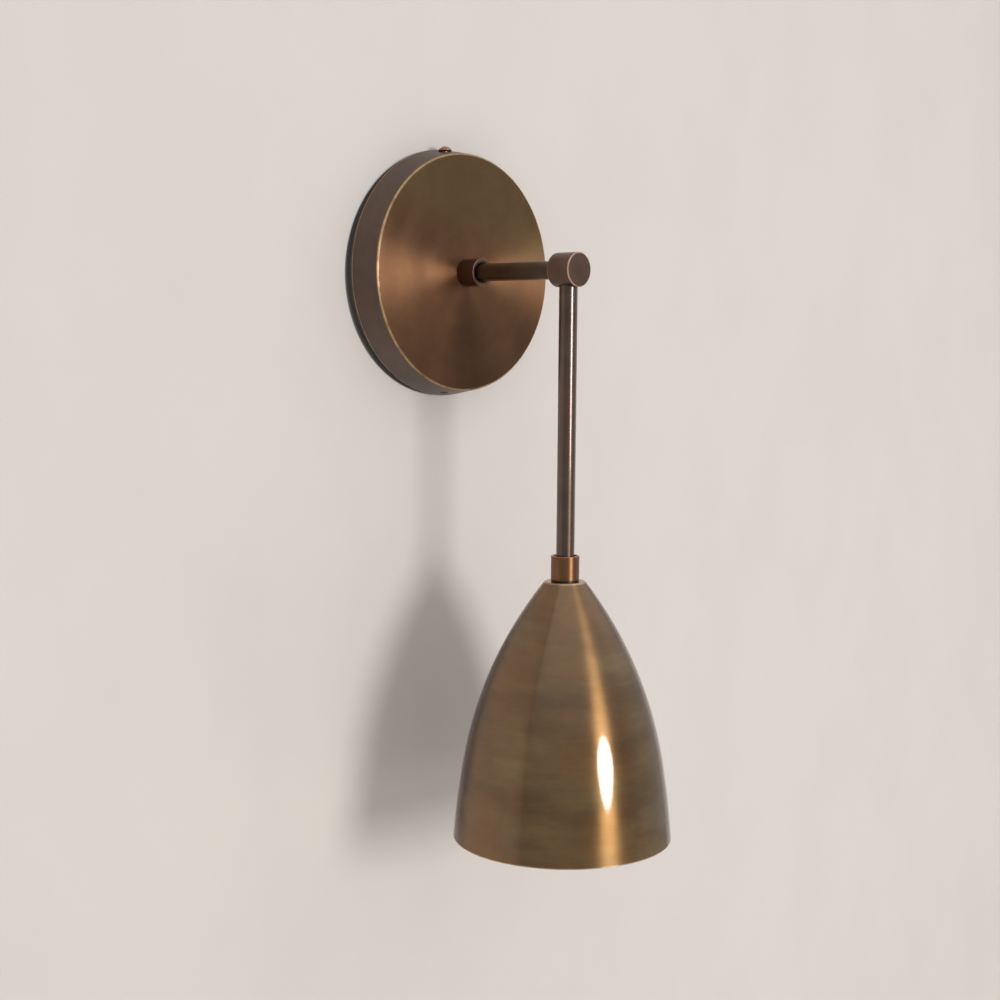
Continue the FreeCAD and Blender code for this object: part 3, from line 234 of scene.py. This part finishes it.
def aged_brass(name, axis, tints, rough, brushed, coat, coat_rough, rings=(), worn=RUBBED_BRASS, relief=0.9,
               side=None, face=None, coat_ior=1.5, edge_tint=WHITE, streaks=0.0):
    """Antique brass: lathe lines along the turning, soft patina, rubbed edges and clear lacquer.

    axis is the way the piece was turned, Y for the arm's and Z for the rod's. tints are the deep, light and
    warm colours of the patina. rings are the edges that have been rubbed bright, in the colour worn. side
    gives a darker skirt's colour, its colour low down (a painted reflection of the floor), radius and station.
    face gives the colour of the patina high on a flat face, and how dark the painted shade is below and to the
    right. streaks is how strongly the turning shows as darker bands.
    """
    deep, light, warm = tints
    material, n = new_material(name)
    place = n.place()
    radius, station, along, stretched = n.turned_place(axis)
    wobble = n.math("MULTIPLY", n.noise(place, WOBBLE_SCALE, detail=1.0), WOBBLE_REACH)
    turned = n.new("ShaderNodeCombineXYZ", {"X": n.math("ADD", along, wobble)})
    lines = n.noise(turned.outputs[0], LINE_SCALE, detail=2.0, roughness=0.7)
    clouds = n.noise(stretched, CLOUD_SCALE, roughness=0.5)
    patches = n.noise(place, PATCH_SCALE, detail=2.0, roughness=0.5)
    blotches = n.noise(place, BLOTCH_SCALE, detail=4.0, roughness=0.65)
    grain = n.noise(place, GRAIN_SCALE, roughness=0.6)
    tint = n.mix(n.span(clouds, 0.34, 0.68), deep, light)
    tint = n.mix(n.span(patches, 0.42, 0.66, 0.0, 0.8), tint, warm)
    if face:
        tint = n.scale(n.face_patina_and_painted_shade(tint, *face), n.grey(n.span(patches, 0.3, 0.7, 0.92, 1.06)))
    if side:
        colour, floor_reflection_colour, side_radius, side_station = side
        # the skirt is painted lighter and greyer low down, a painted reflection of the floor
        fall = n.math("MULTIPLY", n.new("ShaderNodeSeparateXYZ", {0: place}).outputs[2], -1.0)
        colour = n.mix(n.span(fall, SKIRT_REFLECTION_FROM, SKIRT_REFLECTION_TO), colour, floor_reflection_colour)
        outside = n.span(radius, side_radius - SKIRT_EDGE, side_radius)
        behind = n.span(station, side_station, side_station + SKIRT_EDGE, 1.0, 0.0)
        tint = n.mix(n.math("MULTIPLY", outside, behind), tint, colour)
    tone = n.math("ADD", n.span(lines, 0.25, 0.75, 0.97, 1.03), n.span(blotches, 0.3, 0.7, -0.05, 0.05))
    if streaks:
        bands = n.noise(n.scale(place, BAND_STRETCH), BAND_SCALE, detail=4.0, roughness=0.6)
        fine = n.noise(n.scale(place, STREAK_STRETCH), STREAK_SCALE, detail=2.0)
        fine_streaks = streaks * STREAK_SHARE
        tone = n.math("ADD", tone, n.span(bands, 0.32, 0.66, -streaks, streaks * 0.7))
        tone = n.math("ADD", tone, n.span(fine, 0.3, 0.7, -fine_streaks, fine_streaks))
    tint = n.scale(tint, n.grey(tone))
    if rings:
        uneven_wear = n.span(blotches, 0.30, 0.60, 0.45, 1.0)
        rubbed = n.math("MULTIPLY", n.ring_wear(radius, station, rings), uneven_wear)
        tint = n.mix(rubbed, tint, worn)
    uneven = n.math("ADD", n.span(clouds, 0.3, 0.7, -0.03, 0.03), n.span(lines, 0.2, 0.8, -0.02, 0.03))
    n.surface(n.new("ShaderNodeBsdfPrincipled", {
        "Base Color": tint,
        "Metallic": 1.0,
        "Roughness": n.math("ADD", uneven, rough),
        "Specular Tint": edge_tint,
        "Anisotropic": brushed,
        "Anisotropic Rotation": 0.25,
        "Tangent": n.new("ShaderNodeTangent", direction_type="RADIAL", axis=axis).outputs[0],
        "Normal": n.bump(lines, LINE_RELIEF, relief),
        "Coat Weight": coat,
        "Coat Roughness": coat_rough,
        "Coat IOR": coat_ior,
        "Coat Normal": n.bump(grain, GRAIN_RELIEF, GRAIN_STRENGTH),
    }))
    return material


def darkened(colour, amount):
    return tuple(channel * amount for channel in colour)


def plain_metal(name, colour, rough):
    """Bare or plated metal with fine scratches and a faint mottle."""
    material, n = new_material(name)
    place = n.place()
    scratches = n.noise(n.scale(place, (1.0, 0.08, 0.35)), 900.0)
    mottle = n.span(n.noise(place, 90.0, detail=4.0), 0.3, 0.7)
    n.surface(n.new("ShaderNodeBsdfPrincipled", {
        "Base Color": n.mix(mottle, darkened(colour, 0.72), colour),
        "Metallic": 1.0,
        "Roughness": n.span(scratches, 0.2, 0.8, rough - 0.08, rough + 0.10),
        "Normal": n.bump(scratches, 0.00001, 0.5),
    }))
    return material


def moulded(name, colour, rough, coat=0.0):
    """Moulded or glazed material: a fine texture and slightly uneven colour."""
    material, n = new_material(name)
    place = n.place()
    texture = n.noise(place, 1500.0)
    shade = n.span(n.noise(place, 70.0), 0.3, 0.7)
    n.surface(n.new("ShaderNodeBsdfPrincipled", {
        "Base Color": n.mix(shade, darkened(colour, 0.86), colour),
        "Roughness": n.span(texture, 0.2, 0.8, rough - 0.06, rough + 0.06),
        "Coat Weight": coat,
        "Coat Roughness": 0.05,
        "Normal": n.bump(texture, 0.00002, 0.4),
    }))
    return material


def clear_glass(name):
    """Clear blown glass with faint dust."""
    material, n = new_material(name)
    dust = n.noise(n.place(), 240.0, detail=4.0)
    n.surface(n.new("ShaderNodeBsdfPrincipled", {
        "Base Color": n.mix(n.span(dust, 0.4, 0.8), (0.97, 0.98, 0.97), (0.90, 0.91, 0.90)),
        "Roughness": n.span(dust, 0.4, 0.9, 0.02, 0.08),
        "IOR": 1.45,
        "Transmission Weight": 1.0,
    }))
    return material


# the deep, light and warm colours of each piece's patina
ARM_TINTS = ((0.066, 0.044, 0.030), (0.092, 0.064, 0.044), (0.100, 0.060, 0.038))
ROD_TINTS = ((0.088, 0.056, 0.042), (0.116, 0.076, 0.055), (0.120, 0.068, 0.050))
COLLAR_TINTS = ((0.078, 0.050, 0.034), (0.110, 0.070, 0.046), (0.118, 0.066, 0.042))
HUNG_COLLAR_TINTS = ((0.150, 0.072, 0.034), (0.190, 0.094, 0.046), (0.200, 0.090, 0.044))
KNUCKLE_TINTS = ((0.104, 0.064, 0.048), (0.144, 0.090, 0.066), (0.158, 0.088, 0.064))
FACE_TINTS = ((0.156, 0.076, 0.040), (0.188, 0.096, 0.049), (0.208, 0.096, 0.048))
# the patina's colour high on the face, then how bright the painted shade leaves the face in the fan below the
# coupling and on the right
FACE_HIGH_TINT, FACE_PAINTED_SHADE_BELOW, FACE_PAINTED_SHADE_RIGHT = (0.180, 0.110, 0.052), 0.66, 0.80
SHADE_TINTS = ((0.148, 0.082, 0.028), (0.205, 0.130, 0.054), (0.190, 0.096, 0.034))
SCREW_TINTS = ((0.20, 0.11, 0.05), (0.28, 0.16, 0.075), (0.30, 0.15, 0.07))
# the canopy's skirt colour, and its colour low down, which is a painted reflection of the floor
SIDE_TINT, SIDE_LOW_REFLECTION_TINT = (0.125, 0.085, 0.068), (0.150, 0.116, 0.100)
SHADE_EDGE_TINT = (0.40, 0.32, 0.27)
CANOPY_WORN, KNUCKLE_WORN, COPPER = (0.50, 0.35, 0.19), (0.60, 0.38, 0.30), (0.46, 0.25, 0.19)


def collar_rings(start):
    """Rubbed edges of a coupling: both outer rims and its mouth's edge at either end."""
    end = start + COLLAR_LENGTH
    return [(radius, station, 0.45 * MM) for radius in (COLLAR_R, MOUTH_R) for station in (start, end)]


def make_finishes():
    """Every finish by its short name. A ring is the radius, station and width of a rubbed edge."""
    bevel = CANOPY_ROUND * (1.0 - math.sqrt(0.5))
    canopy_edge = (CANOPY_FRONT_R - bevel, CANOPY_DEPTH - bevel, 0.9 * MM)
    back_edge = (CANOPY_BACK_R, 0.0, 0.5 * MM)
    side = (SIDE_TINT, SIDE_LOW_REFLECTION_TINT, CANOPY_FRONT_R - 0.3 * MM, CANOPY_DEPTH - CANOPY_ROUND)
    knuckle_end = KNUCKLE_LENGTH / 2 - KNUCKLE_EDGE / 2
    knuckle_rings = [(KNUCKLE_R - KNUCKLE_EDGE / 2, REACH + step * knuckle_end, 0.6 * MM) for step in (-1, 1)]
    shoulder = (SHADE_SHOULDER_R, SHADE_TOP, 1.3 * MM)
    rim = (SHADE_RIM_R, SHADE_TOP + SHADE_HEIGHT, 0.9 * MM)
    return {
        "face": aged_brass(
            "canopy_brass", "Y", FACE_TINTS, rough=0.42, brushed=0.90, coat=0.14, coat_rough=0.14,
            rings=[canopy_edge, back_edge], worn=CANOPY_WORN, relief=0.35, side=side,
            face=(FACE_HIGH_TINT, FACE_PAINTED_SHADE_BELOW, FACE_PAINTED_SHADE_RIGHT),
        ),
        "arm": aged_brass(
            "arm_brass", "Y", ARM_TINTS, rough=0.38, brushed=0.5, coat=0.25, coat_rough=0.10, relief=0.2,
        ),
        "knuckle": aged_brass(
            "knuckle_brass", "Y", KNUCKLE_TINTS, rough=0.40, brushed=0.0, coat=0.15, coat_rough=0.12,
            rings=knuckle_rings, worn=KNUCKLE_WORN, relief=0.2,
        ),
        "rod": aged_brass(
            "rod_brass", "Z", ROD_TINTS, rough=0.40, brushed=0.6, coat=0.9, coat_rough=0.03, relief=0.05,
        ),
        "collar": aged_brass(
            "collar_brass", "Y", COLLAR_TINTS, rough=0.36, brushed=0.5, coat=0.25, coat_rough=0.10,
            rings=collar_rings(CANOPY_DEPTH), worn=COPPER, relief=0.2,
        ),
        "hung_collar": aged_brass(
            "hung_collar_brass", "Z", HUNG_COLLAR_TINTS, rough=0.34, brushed=0.6, coat=0.2, coat_rough=0.10,
            rings=collar_rings(ROD_DROP), worn=COPPER, relief=0.2,
        ),
        "shade": aged_brass(
            "shade_brass", "Z", SHADE_TINTS, rough=0.36, brushed=0.88, coat=1.0, coat_rough=0.075,
            rings=[shoulder, rim], relief=0.6, coat_ior=1.52, edge_tint=SHADE_EDGE_TINT, streaks=0.15,
        ),
        "screw": aged_brass(
            "screw_brass", "Z", SCREW_TINTS, rough=0.30, brushed=0.0, coat=0.5, coat_rough=0.10,
        ),
        "dark_steel": plain_metal("blackened_steel", (0.06, 0.055, 0.05), 0.42),
        "zinc": plain_metal("zinc_plate", (0.62, 0.62, 0.60), 0.36),
        "green": plain_metal("green_screw", (0.10, 0.36, 0.16), 0.40),
        "bright_brass": plain_metal("turned_brass", (0.70, 0.52, 0.26), 0.28),
        "nickel": plain_metal("nickel_plate", (0.72, 0.71, 0.69), 0.22),
        "solder": plain_metal("solder", (0.55, 0.55, 0.54), 0.45),
        "black": moulded("black_moulding", (0.025, 0.025, 0.025), 0.42),
        "fibre": moulded("dark_fibre", (0.07, 0.06, 0.05), 0.70),
        "white": moulded("off_white_moulding", (0.74, 0.72, 0.66), 0.48),
        "sheath": moulded("white_sheath", (0.72, 0.71, 0.68), 0.42),
        "porcelain": moulded("porcelain", (0.80, 0.78, 0.72), 0.30, coat=0.6),
        "black_glass": moulded("black_glass", (0.015, 0.015, 0.018), 0.12, coat=0.5),
        "filament": moulded("filament_coating", (0.90, 0.62, 0.16), 0.55),
        "glass": clear_glass("bulb_glass"),
    }


# ---------------------------------------------------------------- turned meshes

class TurningAxis:
    """Where a turned piece lies: a start point, the way its stations run and two directions across."""

    def __init__(self, origin, axis, across):
        self.origin = Vector(origin)
        self.axis = Vector(axis)
        self.across = Vector(across)
        self.third = self.axis.cross(self.across)

    def spoke(self, turn):
        return self.across * math.cos(turn) + self.third * math.sin(turn)

    def point(self, radius, station, turn):
        return self.origin + self.axis * station + self.spoke(turn) * radius

    def direction(self, out, ahead, turn):
        return (self.axis * ahead + self.spoke(turn) * out).normalized()


ARM = TurningAxis((0, 0, 0), (0, -1, 0), (1, 0, 0))
ROD = TurningAxis((0, -REACH, 0), (0, 0, -1), (1, 0, 0))
DOME = TurningAxis((-DOME_ASIDE, -DOME_DEPTH, 0), (0, 0, 1), (1, 0, 0))
EASE_STEPS = 4
SMALL_EASE = 0.12 * MM
SAME_POINT = 1e-9
PROBE_ROW = 4
DOME_RIM_STEPS, DOME_STEPS = 8, 20
SHOULDER_STEPS, UPPER_STEPS, LOWER_STEPS, LIP_STEPS = 6, 60, 40, 10
INNER_LOWER_STEPS, INNER_UPPER_STEPS = 30, 40


def arc(centre, radius, start, end, steps):
    """Profile points of an arc; each is (radius, station, normal out, normal ahead)."""
    points = []
    for step in range(steps + 1):
        angle = start + (end - start) * step / steps
        out, ahead = math.cos(angle), math.sin(angle)
        points.append((centre[0] + radius * out, centre[1] + radius * ahead, out, ahead))
    return points


def turned_piece(name, axis, profile, finish, body, node, segments):
    """Spins a closed profile round an axis, with exact normals, in place of a node."""
    vertices, normals, faces = [], [], []
    for radius, station, out, ahead in profile:
        for step in range(segments):
            turn = 2 * math.pi * step / segments
            vertices.append(axis.point(radius, station, turn))
            normals.append(axis.direction(out, ahead, turn))
    rows = len(profile)
    for row in range(rows):
        after_row = (row + 1) % rows
        here, there = profile[row], profile[after_row]
        if math.hypot(here[0] - there[0], here[1] - there[1]) < SAME_POINT:
            continue
        for step in range(segments):
            after = (step + 1) % segments
            first, second = row * segments, after_row * segments
            faces.append((first + step, second + step, second + after, first + after))
    mesh = bpy.data.meshes.new(name)
    mesh.from_pydata(vertices, [], faces)
    mesh.update()
    mesh.polygons.foreach_set("use_smooth", [True] * len(mesh.polygons))
    probe = mesh.polygons[segments * PROBE_ROW]
    if probe.normal.dot(normals[probe.vertices[0]]) < 0:
        mesh.flip_normals()
    mesh.normals_split_custom_set_from_vertices(normals)
    mesh.materials.append(finish)
    piece = bpy.data.objects.new(name, mesh)
    bpy.context.scene.collection.objects.link(piece)
    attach(piece, body)
    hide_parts(node)


def eased(corners):
    """Closed profile with straight sides and rounded corners, each given as (radius, station, rounding)."""
    places = [Vector(corner[:2]) for corner in corners]
    turning = sum(here.cross(there) for here, there in zip(places, places[1:] + places[:1]))
    outward = 1.0 if turning > 0 else -1.0
    points = []
    for index, (_, _, ease) in enumerate(corners):
        here = places[index]
        coming = (here - places[index - 1]).normalized()
        going = (places[(index + 1) % len(places)] - here).normalized()
        first = Vector((coming.y, -coming.x)) * outward
        last = Vector((going.y, -going.x)) * outward
        bend = math.atan2(first.cross(last), first.dot(last))
        bulge = 1.0 if bend * outward > 0 else -1.0
        centre = here - (first + last).normalized() * (bulge * ease / math.cos(bend / 2))
        for step in range(EASE_STEPS + 1):
            angle = math.atan2(first.y, first.x) + bend * step / EASE_STEPS
            out, ahead = math.cos(angle), math.sin(angle)
            points.append((centre.x + bulge * ease * out, centre.y + bulge * ease * ahead, out, ahead))
    return points


def pipe_profile(inner, outer, start, end):
    """Profile of a tube or a washer."""
    corners = [(inner, start), (outer, start), (outer, end), (inner, end)]
    return eased([(radius, station, SMALL_EASE) for radius, station in corners])


def collar_profile(start, mouth_first):
    """Profile of a coupling with a stepped mouth on the tube's side."""
    end = start + COLLAR_LENGTH
    steps = [
        (MOUTH_R, 0.0), (MOUTH_R, MOUTH_DEPTH), (THROAT_R, MOUTH_DEPTH), (THROAT_R, THROAT_DEPTH),
        (THREAD_R, THROAT_DEPTH), (THREAD_R, COLLAR_LENGTH),
    ]
    if mouth_first:
        bore = [(radius, start + depth, SMALL_EASE) for radius, depth in reversed(steps)]
    else:
        bore = [(radius, end - depth, SMALL_EASE) for radius, depth in steps]
    return eased([(COLLAR_R, start, COLLAR_EASE), (COLLAR_R, end, COLLAR_EASE)] + bore)


def dome_profile():
    """Profile of the dome screw: shank, neck, an undercut head with a rounded rim, and the dome."""
    rise = DOME_TOP - DOME_SEAT - DOME_EDGE
    dome = (DOME_R ** 2 + rise ** 2) / (2 * rise)
    middle = DOME_TOP - dome
    start = math.acos((DOME_R - DOME_RIM_ROUND) / (dome - DOME_RIM_ROUND))
    rim_centre = (DOME_R - DOME_RIM_ROUND, middle + (dome - DOME_RIM_ROUND) * math.sin(start))
    under = -math.atan2(DOME_R - DOME_NECK_R, DOME_NECK_DEPTH)
    rim = arc(rim_centre, DOME_RIM_ROUND, under, start, DOME_RIM_STEPS)
    fall = (rim[0][0] - DOME_NECK_R) * DOME_NECK_DEPTH / (DOME_R - DOME_NECK_R)
    neck = rim[0][1] - fall
    # the ends stop just short of the axis, so that no face there has no area
    tiny = 0.002 * MM
    foot = [
        (tiny, DOME_TIP, 0.0, -1.0), (DOME_SHANK_R, DOME_TIP, 0.0, -1.0),
        (DOME_SHANK_R, DOME_TIP, 1.0, 0.0), (DOME_SHANK_R, neck, 1.0, 0.0),
        (DOME_SHANK_R, neck, 0.0, -1.0), (DOME_NECK_R, neck, 0.0, -1.0),
        (DOME_NECK_R, neck, math.cos(under), math.sin(under)),
    ]
    top = arc((0.0, middle), dome, start, math.pi / 2 - tiny / dome, DOME_STEPS)[1:]
    return foot + rim + top


def shade_profile():
    """Closed profile of the shade: outer arcs down to a rounded rim, then the inner arcs back up."""
    lower = Vector((
        SHADE_RIM_R - SHADE_LOWER_R * math.cos(SHADE_FLARE),
        SHADE_TOP + SHADE_HEIGHT + SHADE_LOWER_R * math.sin(SHADE_FLARE),
    ))
    shoulder = Vector((SHADE_SHOULDER_R, SHADE_TOP))
    gap = shoulder - lower
    span = SHADE_LOWER_R - SHADE_UPPER_R
    along = (span ** 2 - SHADE_UPPER_R ** 2 + gap.length ** 2) / (2 * gap.length)
    aside = math.sqrt(span ** 2 - along ** 2)
    ahead = gap.normalized()
    upper = lower + ahead * along + Vector((-ahead.y, ahead.x)) * aside
    joint = math.atan2(upper.y - lower.y, upper.x - lower.x)
    start = math.atan2(shoulder.y - upper.y, shoulder.x - upper.x)
    lip = SHADE_WALL / 2
    ease = SHADE_SHOULDER_ROUND
    # the shoulder's rounding touches the flat top and the upper arc from inside
    ease_station = SHADE_TOP + ease
    ease_angle = math.asin((ease_station - upper.y) / (SHADE_UPPER_R - ease))
    ease_centre = (upper.x + (SHADE_UPPER_R - ease) * math.cos(ease_angle), ease_station)
    rim_angle = -SHADE_FLARE - lip / SHADE_LOWER_R
    outer = [(THREAD_R, SHADE_TOP, 0.0, -1.0), (ease_centre[0], SHADE_TOP, 0.0, -1.0)]
    outer += arc(ease_centre, ease, -math.pi / 2, ease_angle, SHOULDER_STEPS)
    outer += arc(upper, SHADE_UPPER_R, ease_angle + 0.002, joint, UPPER_STEPS)
    outer += arc(lower, SHADE_LOWER_R, joint, rim_angle, LOWER_STEPS)[1:]
    rim_centre = (
        lower.x + (SHADE_LOWER_R - lip) * math.cos(rim_angle),
        lower.y + (SHADE_LOWER_R - lip) * math.sin(rim_angle),
    )
    outer += arc(rim_centre, lip, rim_angle, rim_angle + math.pi, LIP_STEPS)
    # inside, the normals look at the axis, and what would pass the flat top's underside is left out
    ceiling = SHADE_TOP + SHADE_WALL
    inner = arc(lower, SHADE_LOWER_R - SHADE_WALL, rim_angle, joint, INNER_LOWER_STEPS)
    inner += arc(upper, SHADE_UPPER_R - SHADE_WALL, joint, start + 0.004, INNER_UPPER_STEPS)[1:]
    inner = [(radius, station, -out, -forth) for radius, station, out, forth in inner if station > ceiling]
    inner.append((inner[-1][0] - 0.0002, ceiling, 0.0, 1.0))
    inner.append((THREAD_R, ceiling, 0.0, 1.0))
    return outer + inner


# ---------------------------------------------------------------- finishes of the nodes that stay

NODE_FINISHES = {
    "face": ("canopy",),
    "knuckle": ("knuckle",),
    "collar": ("canopy_set_screw",),
    "zinc": (
        "mounting_strap", "arm_lock_washer", "arm_lock_nut", "shade_lock_washer", "shade_lock_nut",
        "terminal_screws", "arm_nipple", "shade_nipple",
    ),
    "green": ("ground_screw",),
    "bright_brass": (
        "arm_swivel_bush", "arm_swivel_spindle", "rod_swivel_spindle", "rod_swivel_bush",
        "holder_screw_shell", "holder_contact",
    ),
    "fibre": ("arm_swivel_washer", "rod_swivel_washer"),
    "white": ("terminal_block",),
    "sheath": ("supply_lead", "knuckle_lead", "rod_lead"),
    "black": ("holder_cap", "holder_body"),
    "porcelain": ("holder_core",),
    "nickel": ("bulb_cap", "bulb_filament_discs"),
    "solder": ("bulb_contact",),
    "black_glass": ("bulb_insulator",),
    "glass": ("bulb_glass", "bulb_stem"),
    "filament": ("bulb_filaments",),
}


def finish_nodes(finish):
    for name, nodes in NODE_FINISHES.items():
        for node in nodes:
            for slot in NODES[node].material_slots:
                slot.material = finish[name]


def make_turned_pieces(finish):
    """Smooth copies of the turned pieces that are seen closely, each in place of its own node."""
    bore = TUBE_R - TUBE_WALL
    arm_start, rod_end = CANOPY_DEPTH + TUBE_OVERLAP, ROD_DROP + TUBE_OVERLAP
    washer = pipe_profile(THREAD_R, WASHER_R, SHADE_TOP - WASHER_THICKNESS, SHADE_TOP)
    for name, axis, profile, look, body, node, segments in (
        ("dome_screw", DOME, dome_profile(), "screw", "wall_plate", "canopy_dome_screw", 96),
        ("wall_coupling", ARM, collar_profile(CANOPY_DEPTH, False), "collar", "wall_plate", "wall_collar", 128),
        ("arm", ARM, pipe_profile(bore, TUBE_R, arm_start, ARM_TUBE_END), "arm", "wall_plate", "arm_tube", 96),
        ("drop_rod", ROD, pipe_profile(bore, TUBE_R, ROD_START, rod_end), "rod", "pendant", "down_rod", 96),
        ("shade_coupling", ROD, collar_profile(ROD_DROP, True), "hung_collar", "pendant", "shade_collar", 128),
        ("seat_washer", ROD, washer, "dark_steel", "pendant", "shade_washer", 128),
        ("shade_bell", ROD, shade_profile(), "shade", "pendant", "shade", 256),
    ):
        turned_piece(name, axis, profile, finish[look], body, node, segments)


# ---------------------------------------------------------------- room and light

WALL_COLOUR = (0.640, 0.595, 0.566)
WALL_GAP, WALL_LEAN, WALL_SPREAD = 2.3 * MM, 2.2 / 66.5, 0.20
WALL_LEAN_TOWARDS = (-0.94, -0.34)
# painted shadow: the plaster round the canopy's back edge is painted dark, reaching further out towards the
# lower left
PAINTED_SHADOW_R, PAINTED_SHADOW_MORE, PAINTED_SHADOW_TOWARDS = 65.8 * MM, 1.8 * MM, (-0.940, -0.342)
PAINTED_SHADOW_COLOUR = (0.13, 0.125, 0.12)
BAFFLE_R, BAFFLE_STAND = 64.4 * MM, 0.3 * MM
WALL_RINGS = [64.4, 65, 66.5, 68, 70, 73, 80, 90, 105, 130, 165, 210, 270, 350, 480, 700, 1100, 2000, 4000]
WALL_SEGMENTS, WALL_FLAT_ROWS = 128, 2
FLOOR_LEVEL, FLOOR_HALF = -1.2, 4.0


def wall_behind(across, up):
    """How far the plaster lies behind the canopy's back: it isn't quite flat, so a gap shows at lower left."""
    run = across * WALL_LEAN_TOWARDS[0] + up * WALL_LEAN_TOWARDS[1]
    return WALL_GAP + WALL_LEAN * WALL_SPREAD * math.tanh(run / WALL_SPREAD)


def make_wall():
    """Pale plaster wall behind the canopy, with a painted shadow round the canopy's back, open where the canopy
    covers it and clear from behind.
    """
    material, n = new_material("plaster")
    place = n.place()
    grain = n.noise(place, 900.0, detail=4.0)
    smears = n.noise(n.scale(place, (1.0, 1.0, 0.6)), 14.0, detail=4.0)
    tint = n.mix(n.span(smears, 0.35, 0.7), WALL_COLOUR, darkened(WALL_COLOUR, 0.97))
    x, _, z = n.new("ShaderNodeSeparateXYZ", {0: place}).outputs
    radius = n.length(x, z)
    # painted shadow: dark and without shine inside a radius that grows towards the lower left
    run = n.math("ADD", n.math("MULTIPLY", x, PAINTED_SHADOW_TOWARDS[0]), n.math("MULTIPLY", z, PAINTED_SHADOW_TOWARDS[1]))
    facing = n.math("DIVIDE", n.math("MAXIMUM", run, 0.0), radius)
    shadow_reach = n.math("ADD", n.math("MULTIPLY", n.math("MULTIPLY", facing, facing), PAINTED_SHADOW_MORE), PAINTED_SHADOW_R)
    lit = n.span(n.math("SUBTRACT", radius, shadow_reach), -0.0003, 0.0005)
    tint = n.mix(lit, PAINTED_SHADOW_COLOUR, tint)
    plaster = n.new("ShaderNodeBsdfPrincipled", {
        "Base Color": tint,
        "Roughness": 0.75,
        "Specular IOR Level": n.math("MULTIPLY", lit, 0.25),
        "Normal": n.bump(n.math("ADD", grain, n.math("MULTIPLY", smears, 4.0)), 0.0003, 0.2),
    })
    behind = n.new("ShaderNodeNewGeometry").outputs["Backfacing"]
    clear = n.new("ShaderNodeBsdfTransparent")
    n.surface(n.new("ShaderNodeMixShader", {0: behind, 1: plaster.outputs[0], 2: clear.outputs[0]}))
    vertices, faces = [], []
    # a short baffle inside the canopy's edge, in the painted shadow's colour, then rings out across the plaster
    rims = [(BAFFLE_R, True)] + [(ring * MM, False) for ring in WALL_RINGS]
    for ring, raised in rims:
        for step in range(WALL_SEGMENTS):
            turn = 2 * math.pi * step / WALL_SEGMENTS
            across, up = ring * math.cos(turn), ring * math.sin(turn)
            vertices.append((across, -BAFFLE_STAND if raised else wall_behind(across, up), up))
    for row in range(len(rims) - 1):
        first, second = row * WALL_SEGMENTS, (row + 1) * WALL_SEGMENTS
        for step in range(WALL_SEGMENTS):
            after = (step + 1) % WALL_SEGMENTS
            faces.append((first + step, second + step, second + after, first + after))
    mesh = bpy.data.meshes.new("wall")
    mesh.from_pydata(vertices, [], faces)
    mesh.update()
    flat_faces = WALL_SEGMENTS * WALL_FLAT_ROWS
    mesh.polygons.foreach_set("use_smooth", [index >= flat_faces for index in range(len(mesh.polygons))])
    if mesh.polygons[-1].normal.y > 0:
        mesh.flip_normals()
    mesh.materials.append(material)
    wall = bpy.data.objects.new("wall", mesh)
    bpy.context.scene.collection.objects.link(wall)


def make_floor():
    """Plain pale floor, below the photograph's view."""
    material, n = new_material("floor")
    speck = n.noise(n.place(), 60.0, detail=4.0)
    n.surface(n.new("ShaderNodeBsdfPrincipled", {
        "Base Color": n.mix(n.span(speck, 0.3, 0.7), (0.66, 0.61, 0.56), (0.70, 0.64, 0.59)),
        "Roughness": 0.8,
    }))
    mesh = bpy.data.meshes.new("floor")
    corners = ((-1, -1), (1, -1), (1, 1), (-1, 1))
    vertices = [(across * FLOOR_HALF, along * FLOOR_HALF, FLOOR_LEVEL) for across, along in corners]
    mesh.from_pydata(vertices, [], [(0, 1, 2, 3)])
    mesh.materials.append(material)
    floor = bpy.data.objects.new("floor", mesh)
    bpy.context.scene.collection.objects.link(floor)


def softbox(name, place, target, width, height, power, colour=WHITE):
    """An oval lamp at a place, turned to its target."""
    light = bpy.data.lights.new(name, "AREA")
    light.shape = "ELLIPSE"
    light.size, light.size_y = width, height
    light.energy = power
    light.color = colour
    thing = bpy.data.objects.new(name, light)
    thing.location = Vector(place)
    thing.rotation_mode = "QUATERNION"
    thing.rotation_quaternion = (Vector(target) - Vector(place)).to_track_quat("-Z", "Y")
    bpy.context.scene.collection.objects.link(thing)


def make_light():
    """A soft key lamp, a weak one behind the wall, and a room that is lighter above and to the right."""
    world = bpy.data.worlds.new("room")
    bpy.context.scene.world = world
    world.use_nodes = True
    n = Nodes(world.node_tree)
    towards = n.new("ShaderNodeTexCoord").outputs["Generated"]
    x, _, z = n.new("ShaderNodeSeparateXYZ", {0: towards}).outputs
    level = n.math("ADD", n.span(z, 0.0, 0.9, 0.33, 1.04), n.span(x, 0.45, 0.95, 0.0, 0.28))
    level = n.math("ADD", level, n.span(z, -0.9, -0.2, 0.1, 0.0))
    room = n.new("ShaderNodeBackground", {"Color": (0.99, 1.0, 1.0), "Strength": level})
    n.new("ShaderNodeOutputWorld", {"Surface": room.outputs[0]})
    softbox("key", (0.10, -3.0, 0.08), (0.0, -0.05, -0.15), width=1.0, height=0.9, power=46.0,
            colour=(1.0, 0.985, 0.97))
    softbox("behind", (0.9, 1.4, 0.5), (0.0, 0.0, -0.1), width=0.8, height=0.8, power=6.0)


# ---------------------------------------------------------------- the scene

bpy.context.scene.view_settings.view_transform = "Standard"
make_camera()
make_light()
make_wall()
make_floor()
finishes = make_finishes()
finish_nodes(finishes)
make_turned_pieces(finishes)
